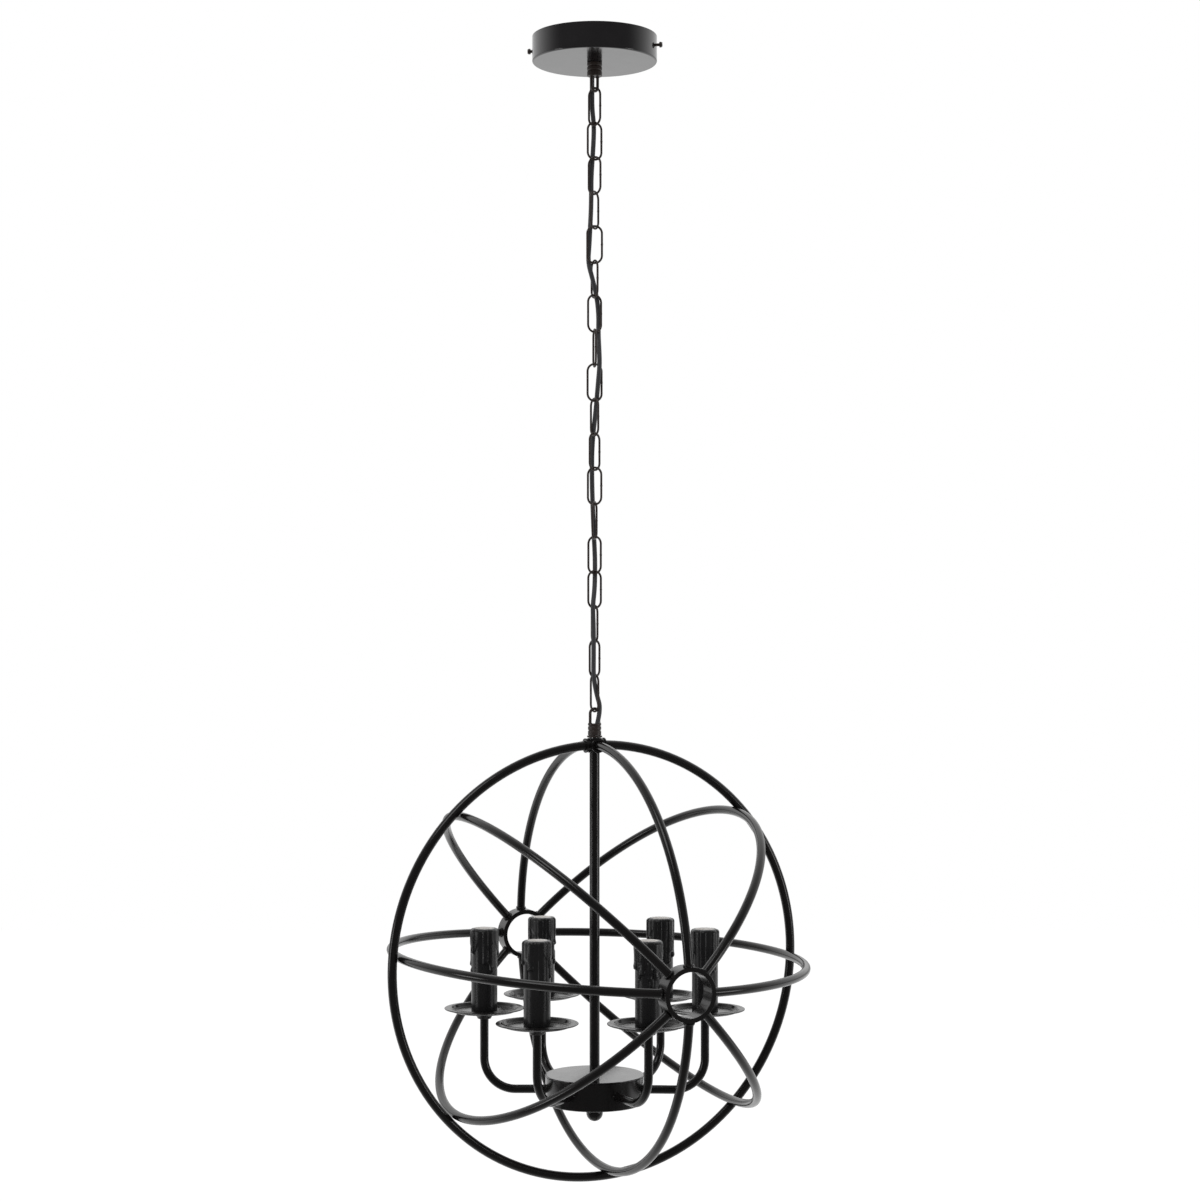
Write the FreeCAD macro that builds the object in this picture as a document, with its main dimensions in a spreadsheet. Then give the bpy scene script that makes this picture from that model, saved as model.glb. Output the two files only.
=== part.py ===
import FreeCAD, Part
import math
import os
import re

import Sketcher

# Orb chandelier: a ceiling cup, an oval-link chain with a woven cable, and a round cage of
# tube hoops about a six-arm candle cluster.  Millimetres, +Z up.  The origin is the middle
# of the ceiling plane, over the cup.  The viewer of the front view stands on the -Y side.

V = FreeCAD.Vector
DOC = FreeCAD.newDocument("OrbChandelier")
SHEET = DOC.addObject("Spreadsheet::Sheet", "Sizes")

SIZES = [
    # ceiling cup and what it hides
    ("cup_radius", 60.0),
    ("cup_height", 25.0),
    ("cup_wall", 0.9),
    ("cup_corner", 1.6),
    ("cup_gap", 0.3),
    ("side_screw_drop", 11.0),
    ("side_screw_angle", -12.0),
    ("side_screw_radius", 1.5),
    ("side_head_radius", 2.7),
    ("side_head_length", 2.6),
    ("head_overlap", 1.3),
    ("side_head_stand", 3.6),
    ("side_screw_bite", 3.6),
    ("strap_width", 18.0),
    ("strap_thick", 1.8),
    ("strap_tab_height", 15.0),
    ("strap_slot_spacing", 70.0),
    ("strap_slot_width", 4.6),
    ("strap_slot_length", 16.0),
    ("rod_radius", 4.9),
    ("rod_bore", 3.2),
    ("rod_top", -15.0),
    ("rod_bottom", -33.0),
    ("nut_flats", 15.0),
    ("nut_height", 4.0),
    ("block_length", 30.0),
    ("block_width", 16.0),
    ("block_height", 12.0),
    ("block_offset", 26.0),
    ("block_ways", 3),
    ("block_wire_level", 4.6),
    ("block_wire_hole", 2.0),
    ("block_screw_hole", 1.7),
    ("block_screw_spacing", 6.4),
    # loops at both ends of the chain
    ("seat_gap", 0.3),
    ("top_collar_radius", 7.2),
    ("top_collar_length", 12.9),
    ("low_collar_radius", 6.4),
    ("low_collar_top", -660.3),
    ("low_collar_bottom", -671.6),
    ("thread_gap", 0.08),
    ("groove_depth", 0.7),
    ("groove_width", 1.4),
    ("groove_floor", 0.56),
    ("groove_first", 5.2),
    ("groove_step", 4.2),
    ("low_groove", 9.0),
    ("eye_root", 1.0),
    ("eye_wire", 1.4),
    ("eye_half_width", 4.85),
    ("top_eye_angle", 54.0),
    ("low_eye_angle", 29.0),
    # chain
    ("link_wire", 1.05),
    ("link_half_width", 7.05),
    ("link_pitch", 33.16),
    ("link_gap", 0.3),
    ("chain_top", -50.65),
    # cable
    ("cable_radius", 2.25),
    ("cable_arc_share", 0.45),
    # hub and stem
    ("hub_height", 14.0),
    ("hub_radius", 6.8),
    ("hub_boss_radius", 6.2),
    ("hub_rim_radius", 7.0),
    ("hub_reach", 10.2),
    ("hub_rim_width", 1.8),
    ("hub_bore", 4.2),
    ("socket_depth", 4.0),
    ("socket_lift", 0.17),
    ("lean_gap", 0.5),
    ("washer_radius", 7.3),
    ("washer_thick", 1.7),
    ("nipple_radius", 3.8),
    ("nipple_bore", 2.7),
    ("nipple_top", -665.4),
    ("nipple_bottom", -701.0),
    ("stem_radius", 4.85),
    ("stem_bore", 3.95),
    ("stem_bottom", -1006.0),
    # cage of hoops
    ("cage_turn_angle", 23.3),
    ("lean_back_angle", 1.8),
    ("lean_side_angle", 1.0),
    ("hoop_radius", 208.6),
    ("hoop_tube", 4.4),
    ("inner_tube", 4.2),
    ("weld_gap", 0.3),
    ("eyelet_radius", 25.0),
    ("eyelet_wall", 4.4),
    ("eyelet_length", 18.0),
    ("eyelet_inset", 1.1),
    ("hoop_wall", 1.0),
    # candle cluster
    ("drum_radius", 47.2),
    ("drum_top", -997.3),
    ("drum_height", 27.6),
    ("drum_wall", 1.3),
    ("drum_corner", 1.2),
    ("arm_level", -1011.5),
    ("arm_radius", 4.1),
    ("arm_bore", 3.1),
    ("arm_bend", 30.0),
    ("arm_inside", 5.0),
    ("candle_circle", 106.0),
    ("pan_level", -933.2),
    ("pan_radius", 38.3),
    ("pan_recess", 29.6),
    ("pan_slope", 2.0),
    ("pan_depth", 2.6),
    ("pan_sheet", 1.2),
    ("pan_hole", 3.3),
    ("pan_cup_radius", 9.0),
    ("pan_cup_foot", 6.3),
    ("pan_cup_height", 6.8),
    ("pan_cup_band", 2.04),
    ("pan_socket", 4.35),
    ("candle_height", 78.6),
    ("candle_radius", 12.5),
    ("candle_swell", 13.6),
    ("candle_bore", 11.2),
    ("candle_shoulder", 3.0),
    ("candle_mouth", 9.2),
    ("candle_waist", 34.0),
    ("candle_flare", 8.5),
    ("candle_chamfer", 1.05),
    ("candle_lip", 1.5),
    ("holder_radius", 10.6),
    ("holder_top", -862.0),
    ("holder_bottom", -907.0),
    ("holder_socket", 7.1),
    ("holder_socket_depth", 26.0),
    ("holder_rod", 2.9),
    ("holder_rod_foot", -952.0),
    ("finial_radius", 8.0),
    ("finial_neck", 4.6),
    ("finial_neck_height", 1.9),
    ("finial_stud", 3.8),
    ("finial_stud_height", 26.0),
    ("finial_sink", 7.36),
    ("finial_outlet_height", 8.67),
]

# Turn of each chain link's plane about the vertical, from the front view, top link first.
LINK_TURNS = [-40, 22, -37, 60, 0, -66, 28, -80, 17.6, -60, 48.5, -24, 74, -32, 31, -67, 48.5, -59]

# Turn of each arm about the vertical, anticlockwise from the right-hand side.
ARM_TURNS = [-3, 51.8, 119.9, 180, 240.1, 298.1]

# Turn of each half hoop about the eyelets' axis, clockwise from the right-hand side.
HALF_HOOPS = {
    "hoop_level_right": 2.6,
    "hoop_right_lower": 47.4,
    "hoop_left_lower": 138.2,
    "hoop_level_left": 185.2,
    "hoop_left_upper": 227.4,
    "hoop_right_upper": 316.7,
}

# The cable's route down the chain: sideways and backward offsets at every half link.
CABLE_ROUTE = [
    (-2.4, 1.8), (-2.4, 7.0), (-2.4, 7.7), (-0.6, 6.6), (-1.0, 3.0), (-2.1, 6.2),
    (-3.2, 8.1), (-3.2, 6.9), (-3.5, 4.5), (-4.3, 3.6), (-5.1, 4.0), (-6.4, 3.7),
    (-1.8, 2.1), (2.1, 5.3), (3.9, 7.1), (3.6, 6.8), (4.3, -3.3), (5.0, -7.0),
    (3.4, -0.4), (2.0, 4.8), (0.4, 7.3), (-1.5, 9.4), (-2.5, 9.5), (-2.6, 8.8),
    (-2.4, 8.5), (-1.9, 8.8), (-1.3, 9.4), (-0.6, 9.0), (0.3, 7.0), (0.4, 4.8),
    (0.0, -0.6), (-1.8, -6.1), (-1.1, -7.6), (-0.9, -7.0), (-0.9, -7.3), (-1.1, -6.7),
    (1.6, -2.3), (6.4, -1.4), (1.5, -2.6),
]

# Height of the hub's middle: under the lower loop and its washer.
HUB_LEVEL = "low_collar_bottom - seat_gap - washer_thick - lean_gap - 0.5 * hub_height"

# Radius of the half hoops, which lie just inside the outer hoop.
INNER_RADIUS = "hoop_radius - hoop_tube - inner_tube - weld_gap"

# Radius of the crossing hoop, which shares the hub's level and passes inside at the foot.
CROSS_RADIUS = "hoop_radius - 0.5 * hoop_tube - 0.5 * inner_tube - 0.5 * weld_gap"


def fill_sheet():
    for row, (alias, number) in enumerate(SIZES, start=1):
        SHEET.set("A%d" % row, alias)
        SHEET.set("B%d" % row, str(number))
        SHEET.setAlias("B%d" % row, alias)
    DOC.recompute()


def size(alias):
    return float(SHEET.get(alias))


def bound(text):
    """An expression in which every word is a cell of the sheet."""
    return re.sub(r"[a-z][a-z_]*", lambda word: "Sizes." + word.group(0), text)


def worth(text):
    """The value of a sum of products of cells and numbers."""
    total = 0.0
    for sign, term in re.findall(r"([+-]?)([^+-]+)", text):
        product = 1.0
        for operation, factor in re.findall(r"([*/]?)([^*/]+)", term):
            word = factor.strip()
            number = size(word) if word[0].isalpha() else float(word)
            product = product / number if operation == "/" else product * number
        total += -product if sign == "-" else product
    return total


def bind(thing, **sizes):
    for name, text in sizes.items():
        thing.setExpression(name, bound(text))
    return thing


def label(thing, name):
    thing.Label = name
    return thing


# ---------------------------------------------------------------- simple solids


def cylinder(name, radius, height):
    return bind(DOC.addObject("Part::Cylinder", name), Radius=radius, Height=height)


def box(name, length, width, height):
    return bind(DOC.addObject("Part::Box", name), Length=length, Width=width, Height=height)


def place(thing, move=(0, 0, 0), axis=(0, 0, 1), angle=0.0):
    thing.Placement = FreeCAD.Placement(V(*move), FreeCAD.Rotation(V(*axis), angle))
    return thing


def fuse(name, shapes):
    joined = DOC.addObject("Part::MultiFuse", name)
    joined.Shapes = shapes
    joined.Refine = True
    return joined


def cut(name, base, tool):
    left = DOC.addObject("Part::Cut", name)
    left.Base = base
    left.Tool = tool
    left.Refine = True
    return left


# ---------------------------------------------------------------- sketched solids


def plane_of(body, role):
    for feature in body.Origin.OriginFeatures:
        if feature.Role == role:
            return feature
    raise ValueError(role)


def new_sketch(body, name, role):
    sketch = body.newObject("Sketcher::SketchObject", name)
    sketch.AttachmentSupport = [(plane_of(body, role), "")]
    sketch.MapMode = "FlatFace"
    return sketch


def tie(sketch, kind, line, end, text):
    """Holds one end of a line at a bound distance from the origin, or on the axis."""
    if text == "0":
        axis = -2 if kind == "DistanceX" else -1
        sketch.addConstraint(Sketcher.Constraint("PointOnObject", line, end, axis))
        return
    point = sketch.getPoint(line, end)
    value = point.x if kind == "DistanceX" else point.y
    index = sketch.addConstraint(Sketcher.Constraint(kind, -1, 1, line, end, value))
    sketch.setExpression("Constraints[%d]" % index, bound(text))


def outline(body, name, role, points):
    """A closed outline of straight lines through bound points."""
    sketch = new_sketch(body, name, role)
    spots = [V(worth(across), worth(up), 0) for across, up in points]
    for index, spot in enumerate(spots):
        following = spots[(index + 1) % len(spots)]
        sketch.addGeometry(Part.LineSegment(spot, following), False)
    for index in range(len(spots)):
        following = (index + 1) % len(spots)
        sketch.addConstraint(Sketcher.Constraint("Coincident", index, 2, following, 1))
    for index, (across, up) in enumerate(points):
        tie(sketch, "DistanceX", index, 1, across)
        tie(sketch, "DistanceY", index, 1, up)
    return sketch


def turned(name, points):
    """A body of revolution about its own vertical axis."""
    body = DOC.addObject("PartDesign::Body", name)
    sketch = outline(body, name + "_outline", "XZ_Plane", points)
    turn = body.newObject("PartDesign::Revolution", name + "_turn")
    turn.Profile = sketch
    turn.ReferenceAxis = (sketch, ["V_Axis"])
    turn.Angle = 360
    body.Tip = turn
    return body


def round_edges(body, name, radius, wanted):
    """Rounds the circular edges of a body for which wanted(radius, height) is true."""
    DOC.recompute()
    edges = []
    for index, edge in enumerate(body.Tip.Shape.Edges, start=1):
        curve = edge.Curve
        if hasattr(curve, "Radius") and wanted(curve.Radius, curve.Center.z):
            edges.append("Edge%d" % index)
    sharp = body.Tip
    rounding = body.newObject("PartDesign::Fillet", name)
    rounding.Base = (sharp, edges)
    rounding.setExpression("Radius", bound(radius))
    body.Tip = rounding
    return rounding


def near(first, second):
    return abs(first - second) < 0.01


# ---------------------------------------------------------------- ceiling cup group


def ceiling_cup():
    body = turned("canopy_cup_body", [
        ("rod_radius + cup_gap", "0 - cup_height"),
        ("cup_radius", "0 - cup_height"),
        ("cup_radius", "0 - cup_gap"),
        ("cup_radius - cup_wall", "0 - cup_gap"),
        ("cup_radius - cup_wall", "cup_wall - cup_height"),
        ("rod_radius + cup_gap", "cup_wall - cup_height"),
    ])
    rim, floor = size("cup_radius"), -size("cup_height")
    round_edges(body, "canopy_cup_round", "cup_corner", lambda r, z: near(r, rim) and near(z, floor))
    hole = cylinder("canopy_cup_hole", "side_screw_radius + cup_gap", "3 * cup_radius")
    reach = 1.5 * size("cup_radius")
    turn = math.radians(size("side_screw_angle"))
    drop = -size("side_screw_drop")
    hole.Placement = FreeCAD.Placement(
        V(-reach * math.cos(turn), -reach * math.sin(turn), drop),
        FreeCAD.Rotation(V(0, 0, 1), V(math.cos(turn), math.sin(turn), 0)),
    )
    return label(cut("canopy_cup_cut", body, hole), "canopy_cup")


def ceiling_strap():
    """A flat strap with two turned-down tabs that take the side screws."""
    strap = box("strap_flat", "2 * cup_radius", "strap_width", "strap_thick")
    half = size("cup_radius") - size("cup_wall") - size("cup_gap")
    wide, thick = size("strap_width"), size("strap_thick")
    strap.Placement.Base = V(-size("cup_radius"), -wide / 2, -thick)
    pieces = [strap]
    for side in (-1, 1):
        tab = box("strap_tab", "strap_thick", "strap_width", "strap_tab_height")
        inner = half - thick
        tab.Placement.Base = V(inner if side > 0 else -half, -wide / 2, -size("strap_tab_height"))
        pieces.append(tab)
    room = cylinder("strap_room", "cup_radius - cup_wall - cup_gap", "cup_height")
    room.Placement.Base = V(0, 0, -size("cup_height"))
    solid = DOC.addObject("Part::Common", "strap_common")
    solid.Base = fuse("strap_fuse", pieces)
    solid.Tool = room
    holes = []
    through = cylinder("strap_tab_hole", "side_screw_radius + cup_gap", "3 * cup_radius")
    place(through, (-1.5 * size("cup_radius"), 0, -size("side_screw_drop")), (0, 1, 0), 90)
    holes.append(through)
    for side in (-1, 1):
        slot = box("strap_slot", "strap_slot_length", "strap_slot_width", "4 * strap_thick")
        middle = side * size("strap_slot_spacing") / 2
        long, narrow = size("strap_slot_length"), size("strap_slot_width")
        slot.Placement.Base = V(middle - long / 2, -narrow / 2, -2 * thick)
        holes.append(slot)
    strapped = cut("strap_cut", solid, fuse("strap_holes", holes))
    place(strapped, angle=size("side_screw_angle"))
    return label(strapped, "ceiling_bracket")


def side_screws():
    """Two round-head screws through the cup's wall into the strap's tabs."""
    head = cylinder("side_head", "side_head_radius", "side_head_length")
    place(head, (size("cup_radius") + size("side_head_stand"), 0, 0), (0, 1, 0), 90)
    inside = "cup_wall + cup_gap + strap_thick + side_screw_bite"
    shank = cylinder("side_shank", "side_screw_radius", inside + " + side_head_stand + head_overlap")
    place(shank, (size("cup_radius") - worth(inside), 0, 0), (0, 1, 0), 90)
    screw = fuse("side_screw", [head, shank])
    DOC.recompute()
    pair = DOC.addObject("Part::Feature", "side_screws")
    copies = []
    for half in (0, 180):
        copy = screw.Shape.copy()
        copy.rotate(V(0, 0, 0), V(0, 0, 1), half)
        copies.append(copy)
    pair.Shape = Part.makeCompound(copies)
    place(pair, (0, 0, -size("side_screw_drop")), angle=size("side_screw_angle"))
    return label(pair, "canopy_screws")


def cup_rod():
    body = turned("upper_nipple_body", [
        ("rod_bore", "rod_bottom"),
        ("rod_radius", "rod_bottom"),
        ("rod_radius", "rod_top"),
        ("rod_bore", "rod_top"),
    ])
    return label(body, "upper_nipple")


def cup_nut():
    prism = DOC.addObject("Part::Prism", "nut_prism")
    prism.Polygon = 6
    bind(prism, Height="nut_height")
    prism.Circumradius = size("nut_flats") / (2 * math.cos(math.pi / prism.Polygon))
    hole = cylinder("nut_hole", "rod_radius + thread_gap", "3 * nut_height")
    hole.Placement.Base = V(0, 0, -size("nut_height"))
    nut = cut("nut_cut", prism, hole)
    place(nut, (0, 0, -size("cup_height") + size("cup_wall") + size("seat_gap")))
    return label(nut, "canopy_nut")


def terminal_block():
    """A two-row wire connector that lies on the cup's floor."""
    block = box("block_box", "block_length", "block_width", "block_height")
    long, wide, high = size("block_length"), size("block_width"), size("block_height")
    holes = []
    ways = int(size("block_ways"))
    level = size("block_wire_level")
    for column in range(ways):
        across = long * (column + 0.5) / ways
        wire = cylinder("block_wire_hole", "block_wire_hole", "2 * block_width")
        place(wire, (across, -wide / 2, level), (1, 0, 0), -90)
        holes.append(wire)
        for side in (-1, 1):
            driver = cylinder("block_screw_hole", "block_screw_hole", "block_height")
            place(driver, (across, (wide + side * size("block_screw_spacing")) / 2, level))
            holes.append(driver)
    drilled = cut("block_cut", block, fuse("block_holes", holes))
    floor = -size("cup_height") + size("cup_wall") + size("seat_gap")
    place(drilled, (-long / 2, size("block_offset") - wide / 2, floor))
    return label(drilled, "terminal_block")


# ---------------------------------------------------------------- loops


def eye(name, low, high):
    """A half ring on two legs, open end down, with its bar at the top and its foot at 0."""
    bend = DOC.addObject("Part::Torus", name + "_bend")
    bind(bend, Radius1="eye_half_width", Radius2="eye_wire")
    bend.Angle3 = 180
    rise = high - low
    place(bend, (0, 0, rise - size("eye_half_width")), (1, 0, 0), 90)
    pieces = [bend]
    for side in (-1, 1):
        leg = DOC.addObject("Part::Cylinder", name + "_leg")
        bind(leg, Radius="eye_wire")
        leg.Height = rise - size("eye_half_width")
        leg.Placement.Base = V(side * size("eye_half_width"), 0, 0)
        pieces.append(leg)
    return pieces


def grooved(name, radius, bottom, top, grooves):
    """A turned collar with narrow grooves at the given heights over its lower end."""
    points = [("0", bottom), (radius, bottom)]
    for height in grooves:
        middle = bottom + " + " + height
        points.append((radius, middle + " - 0.5 * groove_width"))
        points.append((radius + " - groove_depth", middle + " - 0.5 * groove_floor"))
        points.append((radius + " - groove_depth", middle + " + 0.5 * groove_floor"))
        points.append((radius, middle + " + 0.5 * groove_width"))
    points += [(radius, top), ("0", top)]
    return turned(name, points)


def cable_points():
    """The cable's route, half a link apart, from one collar's bore to the other's."""
    step = size("link_pitch") / 2
    top = size("chain_top") + step
    return [V(across, back, top - index * step) for index, (across, back) in enumerate(CABLE_ROUTE)]


def cable_hole(name, inside, outside):
    """A slanted hole through a collar's end, along the cable's first or last run."""
    hole = cylinder(name, "cable_radius + seat_gap", "0.5 * link_pitch")
    out = outside.sub(inside)
    spin = FreeCAD.Rotation(V(0, 0, 1), out)
    out.normalize()
    start = inside.sub(out.multiply(size("cable_radius")))
    hole.Placement = FreeCAD.Placement(start, spin)
    return hole


def bar_reach():
    """From the middle level of a coupling to the middle of the eye's wire there."""
    return size("eye_wire") + size("link_gap") / 2


def upper_loop():
    top = "0 - cup_height - seat_gap"
    bottom = top + " - top_collar_length"
    grooves = ("groove_first", "groove_first + groove_step")
    collar = grooved("top_collar", "top_collar_radius", bottom, top, grooves)
    bar = size("chain_top") - bar_reach()
    foot = size("eye_root") - size("cup_height") - size("seat_gap") - size("top_collar_length")
    loop = fuse("top_eye_fuse", eye("top_eye", bar, foot))
    flip = FreeCAD.Rotation(V(0, 0, 1), size("top_eye_angle")) * FreeCAD.Rotation(V(1, 0, 0), 180)
    loop.Placement = FreeCAD.Placement(V(0, 0, foot), flip)
    solid = fuse("top_loop_fuse", [collar, loop])
    bore = cylinder("top_rod_bore", "rod_radius + thread_gap", "2 * cup_height")
    bore.Placement.Base = V(0, 0, size("rod_bottom") - size("seat_gap"))
    points = cable_points()
    hole = cable_hole("top_cable_hole", points[0], points[1])
    return label(cut("top_loop_cut", solid, fuse("top_bores", [bore, hole])), "upper_loop")


def lower_loop():
    grooves = ("low_groove", "low_groove - groove_step")
    sides = ("low_collar_radius", "low_collar_bottom", "low_collar_top")
    collar = grooved("low_collar", *sides, grooves[::-1])
    bar = size("chain_top") - len(LINK_TURNS) * size("link_pitch") + bar_reach()
    foot = size("low_collar_top") - size("eye_root")
    loop = fuse("low_eye_fuse", eye("low_eye", foot, bar))
    place(loop, (0, 0, foot), angle=size("low_eye_angle"))
    solid = fuse("low_loop_fuse", [collar, loop])
    bore = cylinder("low_rod_bore", "nipple_radius + thread_gap", "2 * cup_height")
    bore.Placement.Base = V(0, 0, size("nipple_top") + size("seat_gap") - 2 * size("cup_height"))
    points = cable_points()
    hole = cable_hole("low_cable_hole", points[-1], points[-2])
    return label(cut("low_loop_cut", solid, fuse("low_bores", [bore, hole])), "lower_loop")


# ---------------------------------------------------------------- chain and cable


def link_pieces():
    """Two half rings and two straight legs, shared by every link, about a link's middle."""
    half_height = (size("link_pitch") + size("link_gap")) / 2 + size("link_wire")
    straight = half_height - size("link_half_width")
    pieces = []
    for side in (1, -1):
        bend = DOC.addObject("Part::Torus", "link_bend")
        bind(bend, Radius1="link_half_width", Radius2="link_wire")
        bend.Angle3 = 180
        place(bend, (0, 0, side * straight), (1, 0, 0), 90 * side)
        pieces.append(bend)
        leg = bind(DOC.addObject("Part::Cylinder", "link_leg"), Radius="link_wire")
        leg.setExpression(
            "Height",
            bound("link_pitch + link_gap + 2 * link_wire - 2 * link_half_width"),
        )
        leg.Placement.Base = V(side * size("link_half_width"), 0, -straight)
        pieces.append(leg)
    return pieces


def chain_links():
    pieces = link_pieces()
    links = []
    for index, turn in enumerate(LINK_TURNS):
        link = fuse("link_fuse_%02d" % (index + 1), pieces)
        middle = size("chain_top") - (index + 0.5) * size("link_pitch")
        place(link, (0, 0, middle), angle=turn)
        links.append(label(link, "chain_link_%02d" % (index + 1)))
    return links


def rounded_path(points):
    """Straight runs joined by tangent arcs, each nearly as large as its two runs allow."""
    edges = []
    radii = []
    previous = points[0]
    for before, corner, after in zip(points, points[1:], points[2:]):
        into = corner.sub(before)
        out = after.sub(corner)
        reach = size("cable_arc_share") * min(into.Length, out.Length)
        half = into.getAngle(out) / 2
        radii.append(reach / math.tan(half))
        into.normalize()
        out.normalize()
        start = corner.sub(V(into).multiply(reach))
        finish = corner.add(V(out).multiply(reach))
        bisector = V(out).sub(into)
        bisector.normalize()
        sagitta = radii[-1] * (1 / math.cos(half) - 1)
        middle = corner.add(bisector.multiply(sagitta))
        edges.append(Part.LineSegment(previous, start).toShape())
        edges.append(Part.Arc(start, middle, finish).toShape())
        previous = finish
    edges.append(Part.LineSegment(previous, points[-1]).toShape())
    return Part.Wire(edges), radii


def chain_cable():
    points = cable_points()
    path, radii = rounded_path(points)
    start = points[1].sub(points[0])
    section = Part.Wire(Part.makeCircle(size("cable_radius"), points[0], start))
    tube = path.makePipeShell([section], True, False)
    wanted = math.pi * size("cable_radius") ** 2 * path.Length
    print("cable length %.1f mm, smallest radius %.1f mm" % (path.Length, min(radii)))
    print("cable radii", [round(radius) for radius in radii])
    print("cable volume share %.4f" % (tube.Volume / wanted))
    cable = DOC.addObject("Part::Feature", "chain_cable_tube")
    cable.Shape = tube
    return label(cable, "chain_cable")


# ---------------------------------------------------------------- hub and stem


def lean():
    """The cage's lean about the hub: a little back and a little to the side."""
    back = FreeCAD.Rotation(V(1, 0, 0), size("lean_back_angle"))
    side = FreeCAD.Rotation(V(0, 1, 0), -size("lean_side_angle"))
    return side * back


def hub_place():
    turn = lean() * FreeCAD.Rotation(V(0, 0, 1), size("cage_turn_angle"))
    return FreeCAD.Placement(V(0, 0, worth(HUB_LEVEL)), turn)


def cage_place(rotation=None, lift=0.0):
    drop = lift + size("socket_lift") - size("hoop_radius")
    middle = FreeCAD.Placement(V(0, 0, drop), FreeCAD.Rotation())
    spin = FreeCAD.Placement(V(0, 0, 0), rotation or FreeCAD.Rotation())
    return hub_place().multiply(middle).multiply(spin)


def hub():
    """A four-way cross fitting; each boss takes the end of a hoop tube."""
    core = cylinder("hub_core", "hub_radius", "hub_height")
    core.Placement.Base = V(0, 0, -size("hub_height") / 2)
    pieces = [core]
    holes = []
    bore = cylinder("hub_rod_bore", "hub_bore", "3 * hub_height")
    bore.Placement.Base = V(0, 0, -1.5 * size("hub_height"))
    holes.append(bore)
    for quarter in range(4):
        spin = FreeCAD.Rotation(V(0, 0, 1), 90 * quarter) * FreeCAD.Rotation(V(0, 1, 0), 90)
        boss = cylinder("hub_boss", "hub_boss_radius", "hub_reach")
        boss.Placement = FreeCAD.Placement(V(0, 0, 0), spin)
        rim = cylinder("hub_rim", "hub_rim_radius", "hub_rim_width")
        edge = size("hub_reach") - size("hub_rim_width")
        rim.Placement = FreeCAD.Placement(spin.multVec(V(0, 0, edge)), spin)
        tube = ("hoop_tube", "inner_tube")[quarter % 2]
        socket = cylinder("hub_socket", tube + " + weld_gap", "2 * socket_depth")
        inner = size("hub_reach") - size("socket_depth")
        socket.Placement = FreeCAD.Placement(spin.multVec(V(0, 0, inner)), spin)
        pieces += [boss, rim]
        holes.append(socket)
    cross = cut("hub_cut", fuse("hub_fuse", pieces), fuse("hub_holes", holes))
    cross.Placement = hub_place()
    return label(cross, "hub")


def washer():
    bottom = "low_collar_bottom - seat_gap - washer_thick"
    body = turned("hub_washer_body", [
        ("nipple_radius + seat_gap", bottom),
        ("washer_radius", bottom),
        ("washer_radius", "low_collar_bottom - seat_gap"),
        ("nipple_radius + seat_gap", "low_collar_bottom - seat_gap"),
    ])
    return label(body, "hub_washer")


def hub_nipple():
    body = turned("hub_nipple_body", [
        ("nipple_bore", "nipple_bottom"),
        ("nipple_radius", "nipple_bottom"),
        ("nipple_radius", "nipple_top"),
        ("nipple_bore", "nipple_top"),
    ])
    return label(body, "hub_nipple")


def stem():
    top = HUB_LEVEL + " - 0.5 * hub_height - lean_gap"
    body = turned("stem_body", [
        ("stem_bore", "stem_bottom"),
        ("stem_radius", "stem_bottom"),
        ("stem_radius", top),
        ("stem_bore", top),
    ])
    return label(body, "stem")


# ---------------------------------------------------------------- cage


def arc_tube(name, radius, tube, start, finish):
    """Part of a hoop in the cage's middle plane, with angles from straight up, clockwise."""
    arc = DOC.addObject("Part::Torus", name)
    bind(arc, Radius1=radius, Radius2=tube)
    arc.Angle3 = finish - start
    upright = FreeCAD.Rotation(V(1, 0, 0), 90)
    arc.Placement = FreeCAD.Placement(V(0, 0, 0), upright * FreeCAD.Rotation(V(0, 0, 1), 90 - finish))
    return arc


def hub_angle(radius):
    """How far from the top of a hoop its tube ends, inside the hub's socket."""
    reach = size("hub_reach") - size("socket_depth") + size("seat_gap")
    return math.degrees(math.asin(reach / radius))


def hollow(name, outer, radius, tube, start, finish):
    """The same arc with its bore taken out, so that it is tube and not rod."""
    inner = arc_tube(name + "_bore", radius, tube + " - hoop_wall", start - 1, finish + 1)
    return cut(name + "_tube", outer, inner)


def outer_hoop():
    radius = size("hoop_radius")
    start = hub_angle(radius)
    arc = arc_tube("outer_arc", "hoop_radius", "hoop_tube", start, 360 - start)
    tube = hollow("outer_hoop", arc, "hoop_radius", "hoop_tube", start, 360 - start)
    tube.Placement = cage_place()
    return label(tube, "hoop_outer")


def eyelet_cutter(lift):
    """The two eyelets as solid drums, a weld gap larger, where the inner hoops end."""
    drums = []
    for side in (-1, 1):
        drum = cylinder("eyelet_drum", "eyelet_radius + weld_gap", "3 * eyelet_length")
        reach = size("hoop_radius") - 1.5 * size("eyelet_length")
        start = reach if side > 0 else -reach - 3 * size("eyelet_length")
        place(drum, (0, start, lift), (1, 0, 0), -90)
        drums.append(drum)
    return fuse("eyelet_drums", drums)


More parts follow.
